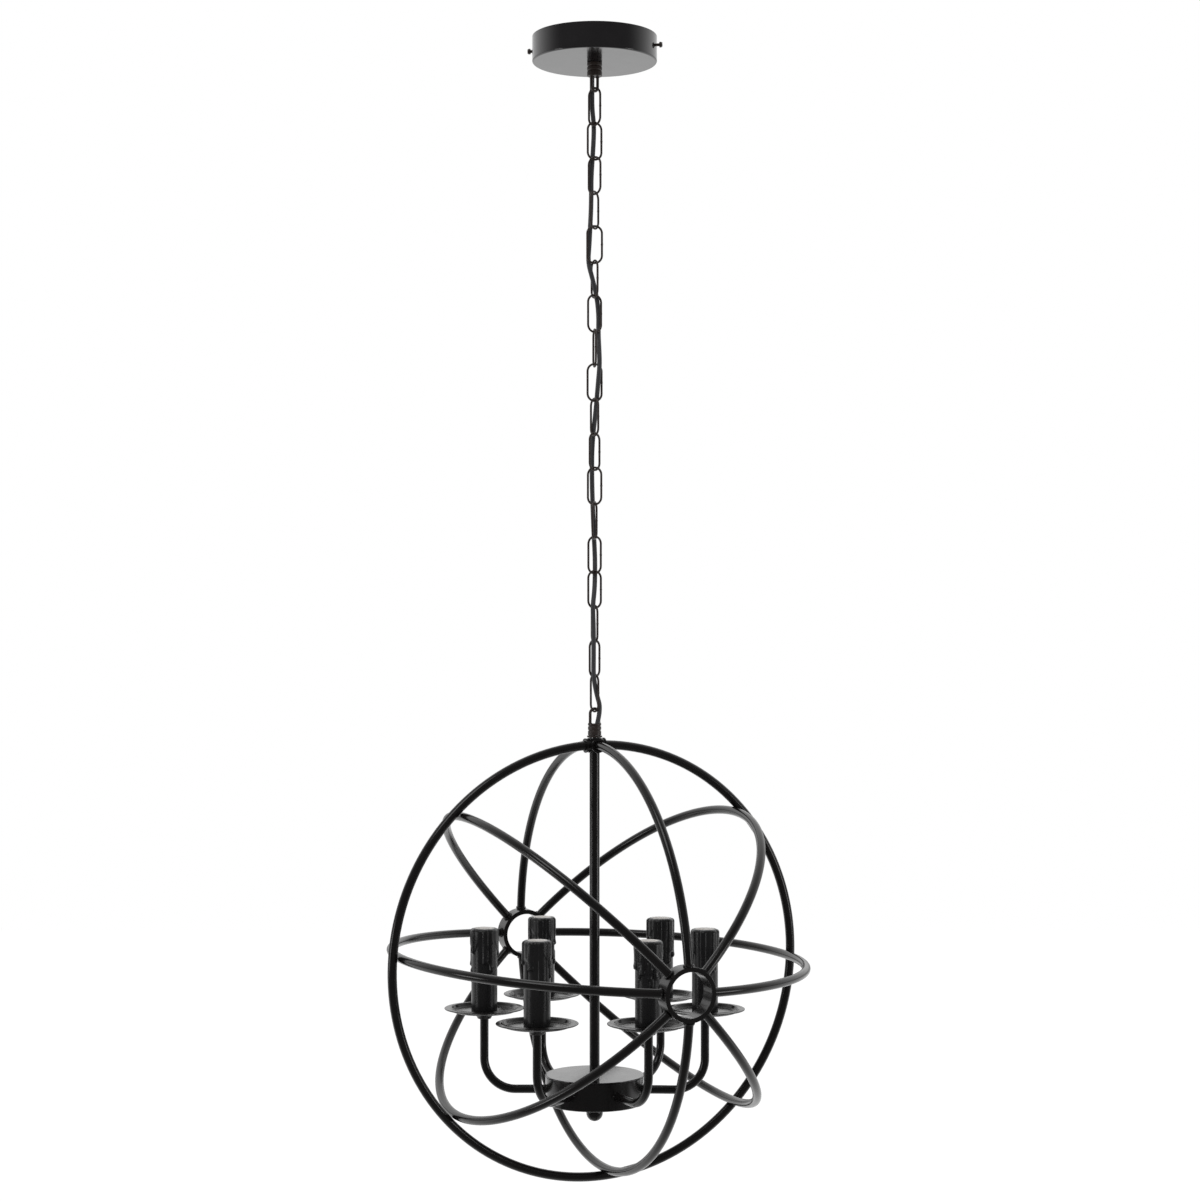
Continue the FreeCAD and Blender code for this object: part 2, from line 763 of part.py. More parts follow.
def cross_hoop():
    """The hoop through both eyelets and the hub's other two bosses, in three lengths."""
    radius = worth(CROSS_RADIUS)
    rise = size("hoop_radius") - radius
    level = 90 + math.degrees(math.asin(rise / radius))
    cutter = eyelet_cutter(-rise)
    start = hub_angle(radius)
    spans = {"cross_upper": (start, level), "cross_lower": (level, 360 - level)}
    tubes = {}
    for name, (first, last) in spans.items():
        arc = arc_tube(name + "_arc", CROSS_RADIUS, "inner_tube", first, last)
        spun = hollow(name, arc, CROSS_RADIUS, "inner_tube", first, last)
        tubes[name] = place(spun, angle=90)
    pieces = []
    for name, source, turn in (
        ("hoop_cross_back", "cross_upper", 0),
        ("hoop_cross_front", "cross_upper", 180),
        ("hoop_cross_lower", "cross_lower", 0),
    ):
        piece = cut(name + "_cut", tubes[source], cutter)
        piece.Placement = cage_place(FreeCAD.Rotation(V(0, 0, 1), turn), rise)
        pieces.append(label(piece, name))
    return pieces


def half_hoops():
    """Six half hoops from eyelet to eyelet, just inside the outer hoop."""
    arc = arc_tube("half_arc", INNER_RADIUS, "inner_tube", 0, 180)
    upright = hollow("half_hoop", arc, INNER_RADIUS, "inner_tube", 0, 180)
    flat = FreeCAD.Rotation(V(1, 0, 0), -90)
    upright.Placement = FreeCAD.Placement(V(0, 0, 0), flat)
    cutter = eyelet_cutter(0.0)
    pieces = []
    for name, angle in HALF_HOOPS.items():
        piece = cut(name + "_cut", upright, cutter)
        piece.Placement = cage_place(FreeCAD.Rotation(V(0, 1, 0), angle))
        pieces.append(label(piece, name))
    return pieces


def eyelets():
    """Two short thick rings at the front and the back, where all inner hoops meet."""
    reach = worth(INNER_RADIUS) - size("eyelet_inset")
    pieces = []
    for name, side in (("eyelet_front", -1), ("eyelet_back", 1)):
        body = turned(name + "_body", [
            ("eyelet_radius - eyelet_wall", "0 - 0.5 * eyelet_length"),
            ("eyelet_radius", "0 - 0.5 * eyelet_length"),
            ("eyelet_radius", "0.5 * eyelet_length"),
            ("eyelet_radius - eyelet_wall", "0.5 * eyelet_length"),
        ])
        spin = FreeCAD.Rotation(V(1, 0, 0), 90)
        middle = FreeCAD.Placement(V(0, side * reach, 0), spin)
        body.Placement = cage_place().multiply(middle)
        pieces.append(label(body, name))
    return pieces


# ---------------------------------------------------------------- candle cluster


def drum():
    bottom = "drum_top - drum_height"
    lid_bottom = "drum_top - drum_wall - seat_gap"
    body = turned("drum_shell", [
        ("finial_stud + seat_gap", bottom),
        ("drum_radius", bottom),
        ("drum_radius", lid_bottom),
        ("drum_radius - drum_wall", lid_bottom),
        ("drum_radius - drum_wall", bottom + " + drum_wall"),
        ("finial_stud + seat_gap", bottom + " + drum_wall"),
    ])
    rim, floor = size("drum_radius"), size("drum_top") - size("drum_height")
    round_edges(body, "drum_round", "drum_corner", lambda r, z: near(r, rim) and near(z, floor))
    holes = []
    for turn in ARM_TURNS:
        hole = cylinder("drum_arm_hole", "arm_radius + weld_gap", "2 * drum_radius")
        spin = FreeCAD.Rotation(V(0, 0, 1), turn) * FreeCAD.Rotation(V(0, 1, 0), 90)
        start = spin.multVec(V(0, 0, size("drum_radius") / 2))
        hole.Placement = FreeCAD.Placement(start.add(V(0, 0, size("arm_level"))), spin)
        holes.append(hole)
    return label(cut("drum_cut", body, fuse("drum_holes", holes)), "drum_body")


def drum_lid():
    under = "drum_top - drum_wall"
    body = turned("drum_lid_body", [
        ("stem_radius + seat_gap", under),
        ("drum_radius", under),
        ("drum_radius", "drum_top"),
        ("stem_radius + seat_gap", "drum_top"),
    ])
    return label(body, "drum_lid")


def finial():
    """A ball knob whose stud screws up through the drum's floor."""
    top = size("drum_top") - size("drum_height") - size("seat_gap")
    ball = DOC.addObject("Part::Sphere", "finial_ball")
    bind(ball, Radius="finial_radius")
    centre = top - size("finial_neck_height") - size("finial_sink")
    ball.Placement.Base = V(0, 0, centre)
    neck = cylinder("finial_neck_disc", "finial_neck", "finial_neck_height + finial_sink")
    neck.Placement.Base = V(0, 0, centre)
    stud = cylinder("finial_stud_rod", "finial_stud", "finial_stud_height + finial_neck_height")
    stud.Placement.Base = V(0, 0, top - size("finial_neck_height"))
    solid = fuse("finial_fuse", [ball, neck, stud])
    bore = cylinder("finial_bore", "nipple_bore", "2 * finial_stud_height")
    bore.Placement.Base = V(0, 0, top + size("drum_wall") + size("seat_gap"))
    outlet = cylinder("finial_outlet", "nipple_bore", "2 * finial_radius")
    middle = top + size("drum_wall") + size("finial_outlet_height")
    place(outlet, (-size("finial_radius"), 0, middle), (0, 1, 0), 90)
    return label(cut("finial_cut", solid, fuse("finial_holes", [bore, outlet])), "finial")


def arm(number, turn):
    """A J-shaped tube: out of the drum level, round a bend and up to the pan."""
    body = DOC.addObject("PartDesign::Body", "arm_body_%d" % number)
    start = size("drum_radius") - size("arm_inside")
    corner = size("candle_circle") - size("arm_bend")
    up = size("arm_bend")
    rise = "pan_level - pan_depth - 2 * pan_sheet - seat_gap - arm_level"
    top = worth(rise)
    path = new_sketch(body, "arm_path_%d" % number, "XZ_Plane")
    path.addGeometry(Part.LineSegment(V(start, 0, 0), V(corner, 0, 0)), False)
    middle = V(corner, up, 0)
    circle = Part.Circle(middle, V(0, 0, 1), up)
    path.addGeometry(Part.ArcOfCircle(circle, -math.pi / 2, 0), False)
    path.addGeometry(Part.LineSegment(V(corner + up, up, 0), V(corner + up, top, 0)), False)
    path.addConstraint(Sketcher.Constraint("PointOnObject", 0, 1, -1))
    path.addConstraint(Sketcher.Constraint("Horizontal", 0))
    path.addConstraint(Sketcher.Constraint("Vertical", 2))
    path.addConstraint(Sketcher.Constraint("Tangent", 0, 2, 1, 1))
    path.addConstraint(Sketcher.Constraint("Tangent", 1, 2, 2, 1))
    tie(path, "DistanceX", 0, 1, "drum_radius - arm_inside")
    tie(path, "DistanceX", 2, 2, "candle_circle")
    tie(path, "DistanceY", 2, 2, rise)
    bend = path.addConstraint(Sketcher.Constraint("Radius", 1, up))
    path.setExpression("Constraints[%d]" % bend, bound("arm_bend"))
    section = new_sketch(body, "arm_section_%d" % number, "YZ_Plane")
    section.AttachmentOffset = FreeCAD.Placement(V(0, 0, start), FreeCAD.Rotation())
    section.setExpression(".AttachmentOffset.Base.z", bound("drum_radius - arm_inside"))
    for index, radius in enumerate(("arm_radius", "arm_bore")):
        section.addGeometry(Part.Circle(V(0, 0, 0), V(0, 0, 1), size(radius)), False)
        section.addConstraint(Sketcher.Constraint("Coincident", index, 3, -1, 1))
        held = section.addConstraint(Sketcher.Constraint("Radius", index, size(radius)))
        section.setExpression("Constraints[%d]" % held, bound(radius))
    pipe = body.newObject("PartDesign::AdditivePipe", "arm_pipe_%d" % number)
    pipe.Profile = section
    pipe.Spine = path
    body.Tip = pipe
    place(body, (0, 0, size("arm_level")), angle=turn)
    return label(body, "arm_%d" % number)


def pan_outline():
    low = "0 - pan_depth - pan_sheet"
    foot = low + " - pan_cup_height"
    return [
        ("pan_hole", "0 - pan_depth"),
        ("pan_hole", low + " - pan_sheet"),
        ("pan_socket", low + " - pan_sheet"),
        ("pan_socket", foot),
        ("pan_cup_foot", foot),
        ("pan_cup_radius", low + " - pan_cup_band"),
        ("pan_cup_radius", low),
        ("pan_recess + 0.5 * pan_sheet", low),
        ("pan_recess + pan_slope + 0.5 * pan_sheet", "0 - pan_sheet"),
        ("pan_radius", "0 - pan_sheet"),
        ("pan_radius", "0"),
        ("pan_recess + pan_slope", "0"),
        ("pan_recess", "0 - pan_depth"),
    ]


def ring_of(name, source, height):
    """Six copies of one turned body on the candle circle, kept as one group."""
    DOC.recompute()
    group = DOC.addObject("Part::Feature", name + "_group")
    copies = []
    for turn in ARM_TURNS:
        copy = source.Shape.copy()
        copy.translate(V(size("candle_circle"), 0, 0))
        copy.rotate(V(0, 0, 0), V(0, 0, 1), turn)
        copies.append(copy)
    group.Shape = Part.makeCompound(copies)
    place(group, (0, 0, height))
    return label(group, name)


def pans():
    master = turned("pan_master", pan_outline())
    return ring_of("bobeches", master, size("pan_level"))


def lamp_holders():
    """Sockets for small screw lamps, each on a threaded rod through its pan."""
    body_top = "holder_top - pan_level"
    body_foot = "holder_bottom - pan_level"
    rod_foot = "holder_rod_foot - pan_level"
    master = turned("holder_master", [
        ("0", rod_foot),
        ("holder_rod", rod_foot),
        ("holder_rod", body_foot),
        ("holder_radius", body_foot),
        ("holder_radius", body_top),
        ("holder_socket", body_top),
        ("holder_socket", body_top + " - holder_socket_depth"),
        ("0", body_top + " - holder_socket_depth"),
    ])
    return ring_of("lampholders", master, size("pan_level"))


def candle(number, turn):
    """A loose sleeve with a thickened, dripped upper half and a rounded shoulder."""
    base = "0 - pan_depth + seat_gap"
    top = base + " + candle_height"
    body = turned("candle_body_%d" % number, [
        ("candle_bore", base),
        ("candle_radius", base),
        ("candle_radius", base + " + candle_waist"),
        ("candle_swell", base + " + candle_waist + candle_flare"),
        ("candle_swell", top + " - candle_shoulder"),
        ("candle_swell - candle_chamfer", top + " - candle_chamfer"),
        ("candle_swell - candle_shoulder", top),
        ("candle_mouth", top),
        ("candle_mouth", top + " - candle_lip"),
        ("candle_bore", top + " - candle_shoulder"),
    ])
    angle = math.radians(turn)
    radius = size("candle_circle")
    spot = (radius * math.cos(angle), radius * math.sin(angle), size("pan_level"))
    place(body, spot, angle=turn)
    return label(body, "candle_%d" % number)


# ---------------------------------------------------------------- the whole object


def build():
    fill_sheet()
    parts = [ceiling_strap(), ceiling_cup(), side_screws(), cup_rod(), cup_nut(), upper_loop()]
    parts.append(terminal_block())
    parts += chain_links()
    parts.append(chain_cable())
    parts += [lower_loop(), washer(), hub(), hub_nipple(), stem(), outer_hoop()]
    parts += cross_hoop()
    parts += half_hoops()
    parts += eyelets()
    parts += [drum(), drum_lid(), finial(), pans(), lamp_holders()]
    for number, turn in enumerate(ARM_TURNS, start=1):
        parts.append(arm(number, turn))
        parts.append(candle(number, turn))
    DOC.recompute()
    return parts


def check(parts):
    for thing in DOC.Objects:
        for state in thing.State:
            if state in ("Invalid", "Error"):
                fault = thing.getStatusString() if hasattr(thing, "getStatusString") else ""
                raise RuntimeError("%s (%s) is %s %s" % (thing.Name, thing.Label, state, fault))
    for part in parts:
        shape = part.Shape
        if shape.isNull() or not shape.isValid() or shape.Volume <= 0:
            raise RuntimeError("%s has no sound shape" % part.Label)


def write(parts):
    os.makedirs("parts", exist_ok=True)
    for old in os.listdir("parts"):
        if old.endswith(".step"):
            os.remove(os.path.join("parts", old))
    for part in parts:
        part.Shape.exportStep("parts/%s.step" % part.Label)
        box_of = part.Shape.BoundBox
        print(
            "%-18s solids %d volume %9.1f  x %.1f..%.1f y %.1f..%.1f z %.1f..%.1f"
            % (
                part.Label,
                len(part.Shape.Solids),
                part.Shape.Volume,
                box_of.XMin,
                box_of.XMax,
                box_of.YMin,
                box_of.YMax,
                box_of.ZMin,
                box_of.ZMax,
            )
        )
    print(len(parts), "pieces")


PARTS = build()
check(PARTS)
write(PARTS)
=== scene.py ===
# %% [markdown]
# # Orb chandelier
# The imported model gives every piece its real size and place.  This file dresses it: each
# visible piece is modelled again with soft edges and gets a procedural finish.  The object's
# sizes are written in millimetres and turned into metres where a mesh is made; the camera,
# the floor and the lamps are in metres.  +Z is up, and the origin is the middle of the
# ceiling plane over the cup.

import math
import random

import bmesh
import bpy
from mathutils import Matrix, Vector, noise


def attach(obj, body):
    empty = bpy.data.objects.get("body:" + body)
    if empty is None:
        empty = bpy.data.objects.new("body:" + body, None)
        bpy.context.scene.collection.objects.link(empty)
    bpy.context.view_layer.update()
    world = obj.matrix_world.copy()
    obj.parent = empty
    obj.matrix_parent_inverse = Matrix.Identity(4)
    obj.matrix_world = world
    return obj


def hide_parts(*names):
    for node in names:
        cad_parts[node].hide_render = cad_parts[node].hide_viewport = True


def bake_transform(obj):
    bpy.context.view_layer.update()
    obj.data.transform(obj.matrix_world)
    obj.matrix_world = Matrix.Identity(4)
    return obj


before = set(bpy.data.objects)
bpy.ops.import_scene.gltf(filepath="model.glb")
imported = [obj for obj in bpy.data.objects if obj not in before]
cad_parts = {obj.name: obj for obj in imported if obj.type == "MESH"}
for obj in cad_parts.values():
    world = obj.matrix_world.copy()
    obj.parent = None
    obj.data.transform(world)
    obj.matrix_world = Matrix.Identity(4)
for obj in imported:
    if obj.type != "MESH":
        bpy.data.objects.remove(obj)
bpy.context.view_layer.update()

# %% [markdown]
# ## Camera
# The picture was taken level, from about 2.3 m away and at the height of the chain's lower
# half.  The horizon lies a little under the middle of the picture, which is a small shift.

# %% Camera
IMAGE_HEIGHT = 1201
FOCAL_PIXELS = 2359
HORIZON_ROW = 638
SENSOR_WIDTH = 36.0
CAMERA_SPOT = (0.0052, -2.268, -0.5781)

eye = bpy.data.cameras.new("front_camera")
eye.sensor_width = SENSOR_WIDTH
eye.lens = SENSOR_WIDTH * FOCAL_PIXELS / IMAGE_HEIGHT
eye.shift_y = (HORIZON_ROW - IMAGE_HEIGHT / 2) / IMAGE_HEIGHT
camera = bpy.data.objects.new("front_camera", eye)
camera.location = CAMERA_SPOT
camera.rotation_euler = (math.radians(90), 0, 0)
bpy.context.scene.collection.objects.link(camera)
bpy.context.scene.camera = camera
print("lens", round(eye.lens, 2), "mm, shift", round(eye.shift_y, 4))

# %% [markdown]
# ## Shared sizes
# The same real sizes as in the model.  Here are those that several pieces share: the gaps
# between them, the chain, the cage and the places of the candles.

# %% Shared sizes
MM = 0.001
SEAT_GAP, THREAD_GAP = 0.3, 0.08
ROD_RADIUS, NIPPLE_RADIUS = 4.9, 3.8

CHAIN_TOP, LINK_PITCH, LINK_GAP, LINK_WIRE, LINK_HALF_WIDTH = -50.65, 33.16, 0.3, 1.05, 7.05
LINK_TURNS = [-40, 22, -37, 60, 0, -66, 28, -80, 17.6, -60, 48.5, -24, 74, -32, 31, -67, 48.5, -59]

HUB_LEVEL, HUB_HEIGHT = -681.1, 14.0
CAGE_TURN, LEAN_BACK, LEAN_SIDE = 23.3, 1.8, 1.0
HOOP_RADIUS, HOOP_TUBE, INNER_TUBE, WELD_GAP = 208.6, 4.4, 4.2, 0.3
INNER_RADIUS = HOOP_RADIUS - HOOP_TUBE - INNER_TUBE - WELD_GAP
CROSS_RADIUS = HOOP_RADIUS - (HOOP_TUBE + INNER_TUBE + WELD_GAP) / 2
EYELET_RADIUS, EYELET_WALL, EYELET_LENGTH, EYELET_INSET = 25.0, 4.4, 18.0, 1.1

DRUM_RADIUS, DRUM_TOP, DRUM_HEIGHT, DRUM_WALL = 47.2, -997.3, 27.6, 1.3
PAN_LEVEL, ARM_LEVEL, ARM_RADIUS = -933.2, -1011.5, 4.1
CANDLE_CIRCLE = 106.0
ARM_TURNS = [-3, 51.8, 119.9, 180, 240.1, 298.1]
print("orb", 2 * (HOOP_RADIUS + HOOP_TUBE), "mm across,", len(LINK_TURNS), "links")

# %% [markdown]
# ## The cable's line
# The cable is one flexible cord that goes in and out of the chain.  Its line is a smooth
# NURBS curve whose control points are the route of the model, half a link apart.  The
# curve is evaluated once, and the tube's rings follow the points it gives.

# %% The cable's line
CABLE_RADIUS = 2.25
CABLE_ROUTE = [
    (-2.4, 1.8), (-2.4, 7.0), (-2.4, 7.7), (-0.6, 6.6), (-1.0, 3.0), (-2.1, 6.2),
    (-3.2, 8.1), (-3.2, 6.9), (-3.5, 4.5), (-4.3, 3.6), (-5.1, 4.0), (-6.4, 3.7),
    (-1.8, 2.1), (2.1, 5.3), (3.9, 7.1), (3.6, 6.8), (4.3, -3.3), (5.0, -7.0),
    (3.4, -0.4), (2.0, 4.8), (0.4, 7.3), (-1.5, 9.4), (-2.5, 9.5), (-2.6, 8.8),
    (-2.4, 8.5), (-1.9, 8.8), (-1.3, 9.4), (-0.6, 9.0), (0.3, 7.0), (0.4, 4.8),
    (0.0, -0.6), (-1.8, -6.1), (-1.1, -7.6), (-0.9, -7.0), (-0.9, -7.3), (-1.1, -6.7),
    (1.6, -2.3), (6.4, -1.4), (1.5, -2.6),
]
CURVE_STEPS, CURVE_ORDER = 12, 3


def length_of(points):
    return sum((after - before).length for before, after in zip(points, points[1:]))


def cable_line():
    line = bpy.data.curves.new("cable_line", "CURVE")
    line.dimensions = "3D"
    line.resolution_u = CURVE_STEPS
    spline = line.splines.new("NURBS")
    spline.points.add(len(CABLE_ROUTE) - 1)
    for index, (across, back) in enumerate(CABLE_ROUTE):
        height = CHAIN_TOP + (0.5 - 0.5 * index) * LINK_PITCH
        spline.points[index].co = (across * MM, back * MM, height * MM, 1)
    spline.order_u = CURVE_ORDER
    spline.use_endpoint_u = True
    holder = bpy.data.objects.new("cable_line", line)
    points = [v.co.copy() for v in bpy.data.meshes.new_from_object(holder).vertices]
    bpy.data.objects.remove(holder)
    return points


cable_points = cable_line()
print("cable line", len(cable_points), "points,", round(length_of(cable_points) / MM), "mm")

# %% [markdown]
# ## Mesh helpers
# Nearly every piece is turned on a lathe or bent from round tube.  A turned piece is a
# profile spun about an axis; a bent tube is a ring that is extruded and spun along its way.
# Sharp rims catch no light, so they get a small bevel before the piece is finished, and
# normals weighted by area keep the flat and straight faces beside a bevel plain.

# %% Mesh helpers
CLOSE = 1e-6
SHARP = math.radians(34)
POINT, EDGE = bmesh.types.BMVert, bmesh.types.BMEdge


def only(kind, parts):
    """The parts of a mesh that are of one kind, such as its points or edges."""
    return [part for part in parts if isinstance(part, kind)]


def soften(bm, width, segments=2):
    """Bevels every edge that turns sharply."""
    bm.normal_update()
    edges = [e for e in bm.edges if len(e.link_faces) == 2 and e.calc_face_angle(0) > SHARP]
    bmesh.ops.bevel(
        bm,
        geom=edges,
        offset=width * MM,
        segments=segments,
        profile=0.5,
        affect="EDGES",
        clamp_overlap=True,
        material=-1,
    )


def lathe(profile, steps=64, rim=0.0):
    """A closed profile of (radius, height), spun about Z, with its rims bevelled."""
    bm = bmesh.new()
    ring = [bm.verts.new((radius * MM, 0, height * MM)) for radius, height in profile]
    edges = [bm.edges.new((a, b)) for a, b in zip(ring, ring[1:] + ring[:1])]
    bmesh.ops.spin(
        bm,
        geom=ring + edges,
        cent=(0, 0, 0),
        axis=(0, 0, 1),
        angle=math.tau,
        steps=steps,
        use_merge=True,
    )
    bmesh.ops.remove_doubles(bm, verts=bm.verts, dist=CLOSE)
    if any(edge.calc_length() < CLOSE for edge in bm.edges):
        bmesh.ops.dissolve_degenerate(bm, dist=CLOSE, edges=bm.edges)
    bmesh.ops.recalc_face_normals(bm, faces=bm.faces)
    if rim:
        soften(bm, rim)
    return bm


def corner(radius, across, up, start, stop, steps=6):
    """Points on part of a circle, by degrees, for a profile."""
    spots = []
    for step in range(steps + 1):
        angle = math.radians(start + (stop - start) * step / steps)
        spots.append((across + radius * math.cos(angle), up + radius * math.sin(angle)))
    return spots


def box_profile(inside, outside, low, high):
    """The profile of a plain ring or tube."""
    return [(inside, low), (outside, low), (outside, high), (inside, high)]


def ring_at(bm, radius, middle, normal, sides):
    """A circle of edges that starts a bent tube."""
    spin = Vector((0, 0, 1)).rotation_difference(Vector(normal)).to_matrix().to_4x4()
    matrix = Matrix.Translation(Vector(middle) * MM) @ spin
    made = bmesh.ops.create_circle(
        bm, cap_ends=False, radius=radius * MM, segments=sides, matrix=matrix
    )
    verts = made["verts"]
    return verts + list({edge for v in verts for edge in v.link_edges})


def straight(bm, ring, move):
    """Extrudes the tube's open ring straight on."""
    made = bmesh.ops.extrude_edge_only(bm, edges=only(EDGE, ring))
    fresh = only((POINT, EDGE), made["geom"])
    bmesh.ops.translate(bm, vec=Vector(move) * MM, verts=only(POINT, fresh))
    return fresh


def bend(bm, ring, middle, axis, degrees, steps):
    """Spins the tube's open ring round a bend."""
    made = bmesh.ops.spin(
        bm,
        geom=ring,
        cent=Vector(middle) * MM,
        axis=axis,
        angle=math.radians(degrees),
        steps=steps,
        use_merge=False,
    )
    return only((POINT, EDGE), made["geom_last"])


def close_ends(bm):
    """Fills the open ends of a tube and turns its faces outwards."""
    bmesh.ops.remove_doubles(bm, verts=bm.verts, dist=CLOSE)
    bmesh.ops.holes_fill(bm, edges=[e for e in bm.edges if e.is_boundary], sides=0)
    bmesh.ops.recalc_face_normals(bm, faces=bm.faces)


def merge_in(bm, other):
    """Adds one mesh in progress to another."""
    spare = bpy.data.meshes.new("spare")
    other.to_mesh(spare)
    other.free()
    bm.from_mesh(spare)
    bpy.data.meshes.remove(spare)
    return bm


def moved(bm, matrix):
    bmesh.ops.transform(bm, matrix=matrix, verts=bm.verts)
    return bm


def turn(axis, degrees):
    return Matrix.Rotation(math.radians(degrees), 4, axis)


def shift(across=0.0, back=0.0, up=0.0):
    return Matrix.Translation((across * MM, back * MM, up * MM))


def finish(name, bm, body, nodes=(), finishes=()):
    """Makes the piece: smooth faces, sharp corners kept, its finish, body and nodes."""
    bm.normal_update()
    for face in bm.faces:
        face.smooth = True
    for edge in bm.edges:
        if len(edge.link_faces) == 2 and edge.calc_face_angle(0) > SHARP:
            edge.smooth = False
    mesh = bpy.data.meshes.new(name)
    bm.to_mesh(mesh)
    bm.free()
    piece = bpy.data.objects.new(name, mesh)
    bpy.context.scene.collection.objects.link(piece)
    for material in finishes:
        mesh.materials.append(material)
    even = piece.modifiers.new("even_shading", "WEIGHTED_NORMAL")
    even.keep_sharp = True
    if body:
        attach(piece, body)
    if nodes:
        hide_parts(*nodes)
    return piece


print("helpers ready")

# %% [markdown]
# ## Paint and other finishes
# The metalwork wears satin black paint.  Paint is never a perfect mirror: it has a fine
# grain and small changes of gloss.  Both come from noise in object space.  The grain is far
# finer than the tubes and the gloss drifts over a couple of centimetres, so the thin
# highlights stay long but soft.  The cup and the drum's lid have a smoother coat; the chain,
# its loops, the washer and the screws have a duller brown-black one.

# %% Paint and other finishes
DRIFT_SCALE, DRIFT_DETAIL, GRAIN_DETAIL, GRAIN_STRENGTH = 55.0, 4.0, 2.0, 0.35
NOISE_LOW, NOISE_HIGH = 0.3, 0.7
MIX_COLOR_A, MIX_COLOR_B, MIX_COLOR_RESULT = 6, 7, 2


def new_finish(name, color, roughness, specular=0.5, metallic=0.0):
    material = bpy.data.materials.new(name)
    material.use_nodes = True
    shader = material.node_tree.nodes["Principled BSDF"]
    shader.inputs["Base Color"].default_value = (*color, 1)
    shader.inputs["Roughness"].default_value = roughness
    shader.inputs["Specular IOR Level"].default_value = specular
    shader.inputs["Metallic"].default_value = metallic
    return material


def add_noise(material, scale, detail):
    nodes, links = material.node_tree.nodes, material.node_tree.links
    place = nodes.get("Texture Coordinate") or nodes.new("ShaderNodeTexCoord")
    grain = nodes.new("ShaderNodeTexNoise")
    grain.inputs["Scale"].default_value = scale
    grain.inputs["Detail"].default_value = detail
    links.new(place.outputs["Object"], grain.inputs["Vector"])
    return grain


def add_gloss(material, source, low, high):
    """Lets the roughness drift between two values with the noise."""
    nodes, links = material.node_tree.nodes, material.node_tree.links
    span = nodes.new("ShaderNodeMapRange")
    span.inputs["From Min"].default_value = NOISE_LOW
    span.inputs["From Max"].default_value = NOISE_HIGH
    span.inputs["To Min"].default_value = low
    span.inputs["To Max"].default_value = high
    links.new(source.outputs["Fac"], span.inputs["Value"])
    links.new(span.outputs["Result"], nodes["Principled BSDF"].inputs["Roughness"])


def add_tint(material, source, dark, light):
    """Lets the colour drift between two tints with the noise."""
    nodes, links = material.node_tree.nodes, material.node_tree.links
    mix = nodes.new("ShaderNodeMix")
    mix.data_type = "RGBA"
    mix.inputs[MIX_COLOR_A].default_value = (*dark, 1)
    mix.inputs[MIX_COLOR_B].default_value = (*light, 1)
    links.new(source.outputs["Fac"], mix.inputs["Factor"])
    links.new(mix.outputs[MIX_COLOR_RESULT], nodes["Principled BSDF"].inputs["Base Color"])


def add_bump(material, source, depth, strength):
    nodes, links = material.node_tree.nodes, material.node_tree.links
    bump = nodes.new("ShaderNodeBump")
    bump.inputs["Distance"].default_value = depth * MM
    bump.inputs["Strength"].default_value = strength
    links.new(source.outputs["Fac"], bump.inputs["Height"])
    links.new(bump.outputs["Normal"], nodes["Principled BSDF"].inputs["Normal"])


def coated(name, dark, light, roughness, grain_size, depth, specular=0.5):
    """A painted or moulded surface: tint and gloss drift slowly, and the grain is fine."""
    material = new_finish(name, light, roughness[0], specular)
    drift = add_noise(material, DRIFT_SCALE, DRIFT_DETAIL)
    add_tint(material, drift, dark, light)
    add_gloss(material, drift, *roughness)
    grain = add_noise(material, 1 / (grain_size * MM), GRAIN_DETAIL)
    add_bump(material, grain, depth, GRAIN_STRENGTH)
    return material


BLACK = coated(
    "black_powder_coat", (0.005, 0.0045, 0.0045), (0.009, 0.008, 0.008), (0.16, 0.21), 0.9, 0.004
)
LID_BLACK = coated(
    "smooth_black_coat", (0.006, 0.005, 0.006), (0.01, 0.009, 0.01), (0.14, 0.18), 0.9, 0.004, 1.0
)
CHAIN_BLACK = coated(
    "chain_black", (0.018, 0.012, 0.01), (0.042, 0.03, 0.026), (0.34, 0.46), 0.6, 0.02, 0.45
)
WAX_BLACK = coated(
    "black_wax_coat", (0.008, 0.008, 0.0085), (0.014, 0.0135, 0.014), (0.24, 0.31), 1.1, 0.012
)
CABLE_GREY = coated(
    "cable_sheath", (0.028, 0.028, 0.03), (0.05, 0.05, 0.054), (0.4, 0.5), 0.5, 0.02
)
SLEEVE_CORE = coated(
    "sleeve_core", (0.84, 0.81, 0.78), (0.88, 0.86, 0.84), (0.35, 0.5), 0.8, 0.02
)
HOLDER_BLACK = coated(
    "lampholder_black", (0.016, 0.016, 0.017), (0.028, 0.028, 0.03), (0.4, 0.55), 0.5, 0.03
)
BLOCK_WHITE = coated(
    "block_white", (0.66, 0.66, 0.62), (0.78, 0.78, 0.75), (0.4, 0.55), 0.7, 0.03
)


def black_piece(name, bm, node, coat=BLACK):
    """A black piece that hangs with the cage."""
    finish(name, bm, "orb", [node], [coat])


print(len(bpy.data.materials), "materials")

# %% [markdown]
# Bare metal shows only inside: zinc-plated steel on the bracket, rods and nuts, and brass in
# the lamp sockets.  Zinc has soft cloudy spangles; brass is warmer and a little duller.

# %% Bare metals
CLOUD_DETAIL, SCRATCH_SCALE, SCRATCH_DEPTH, SCRATCH_STRENGTH = 5.0, 1500.0, 0.02, 0.2


def bare_metal(name, dark, light, roughness, cloud_scale):
    material = new_finish(name, light, roughness[0], metallic=1.0)
    clouds = add_noise(material, cloud_scale, CLOUD_DETAIL)
    add_tint(material, clouds, dark, light)
    add_gloss(material, clouds, *roughness)
    scratches = add_noise(material, SCRATCH_SCALE, 1.0)
    add_bump(material, scratches, SCRATCH_DEPTH, SCRATCH_STRENGTH)
    return material


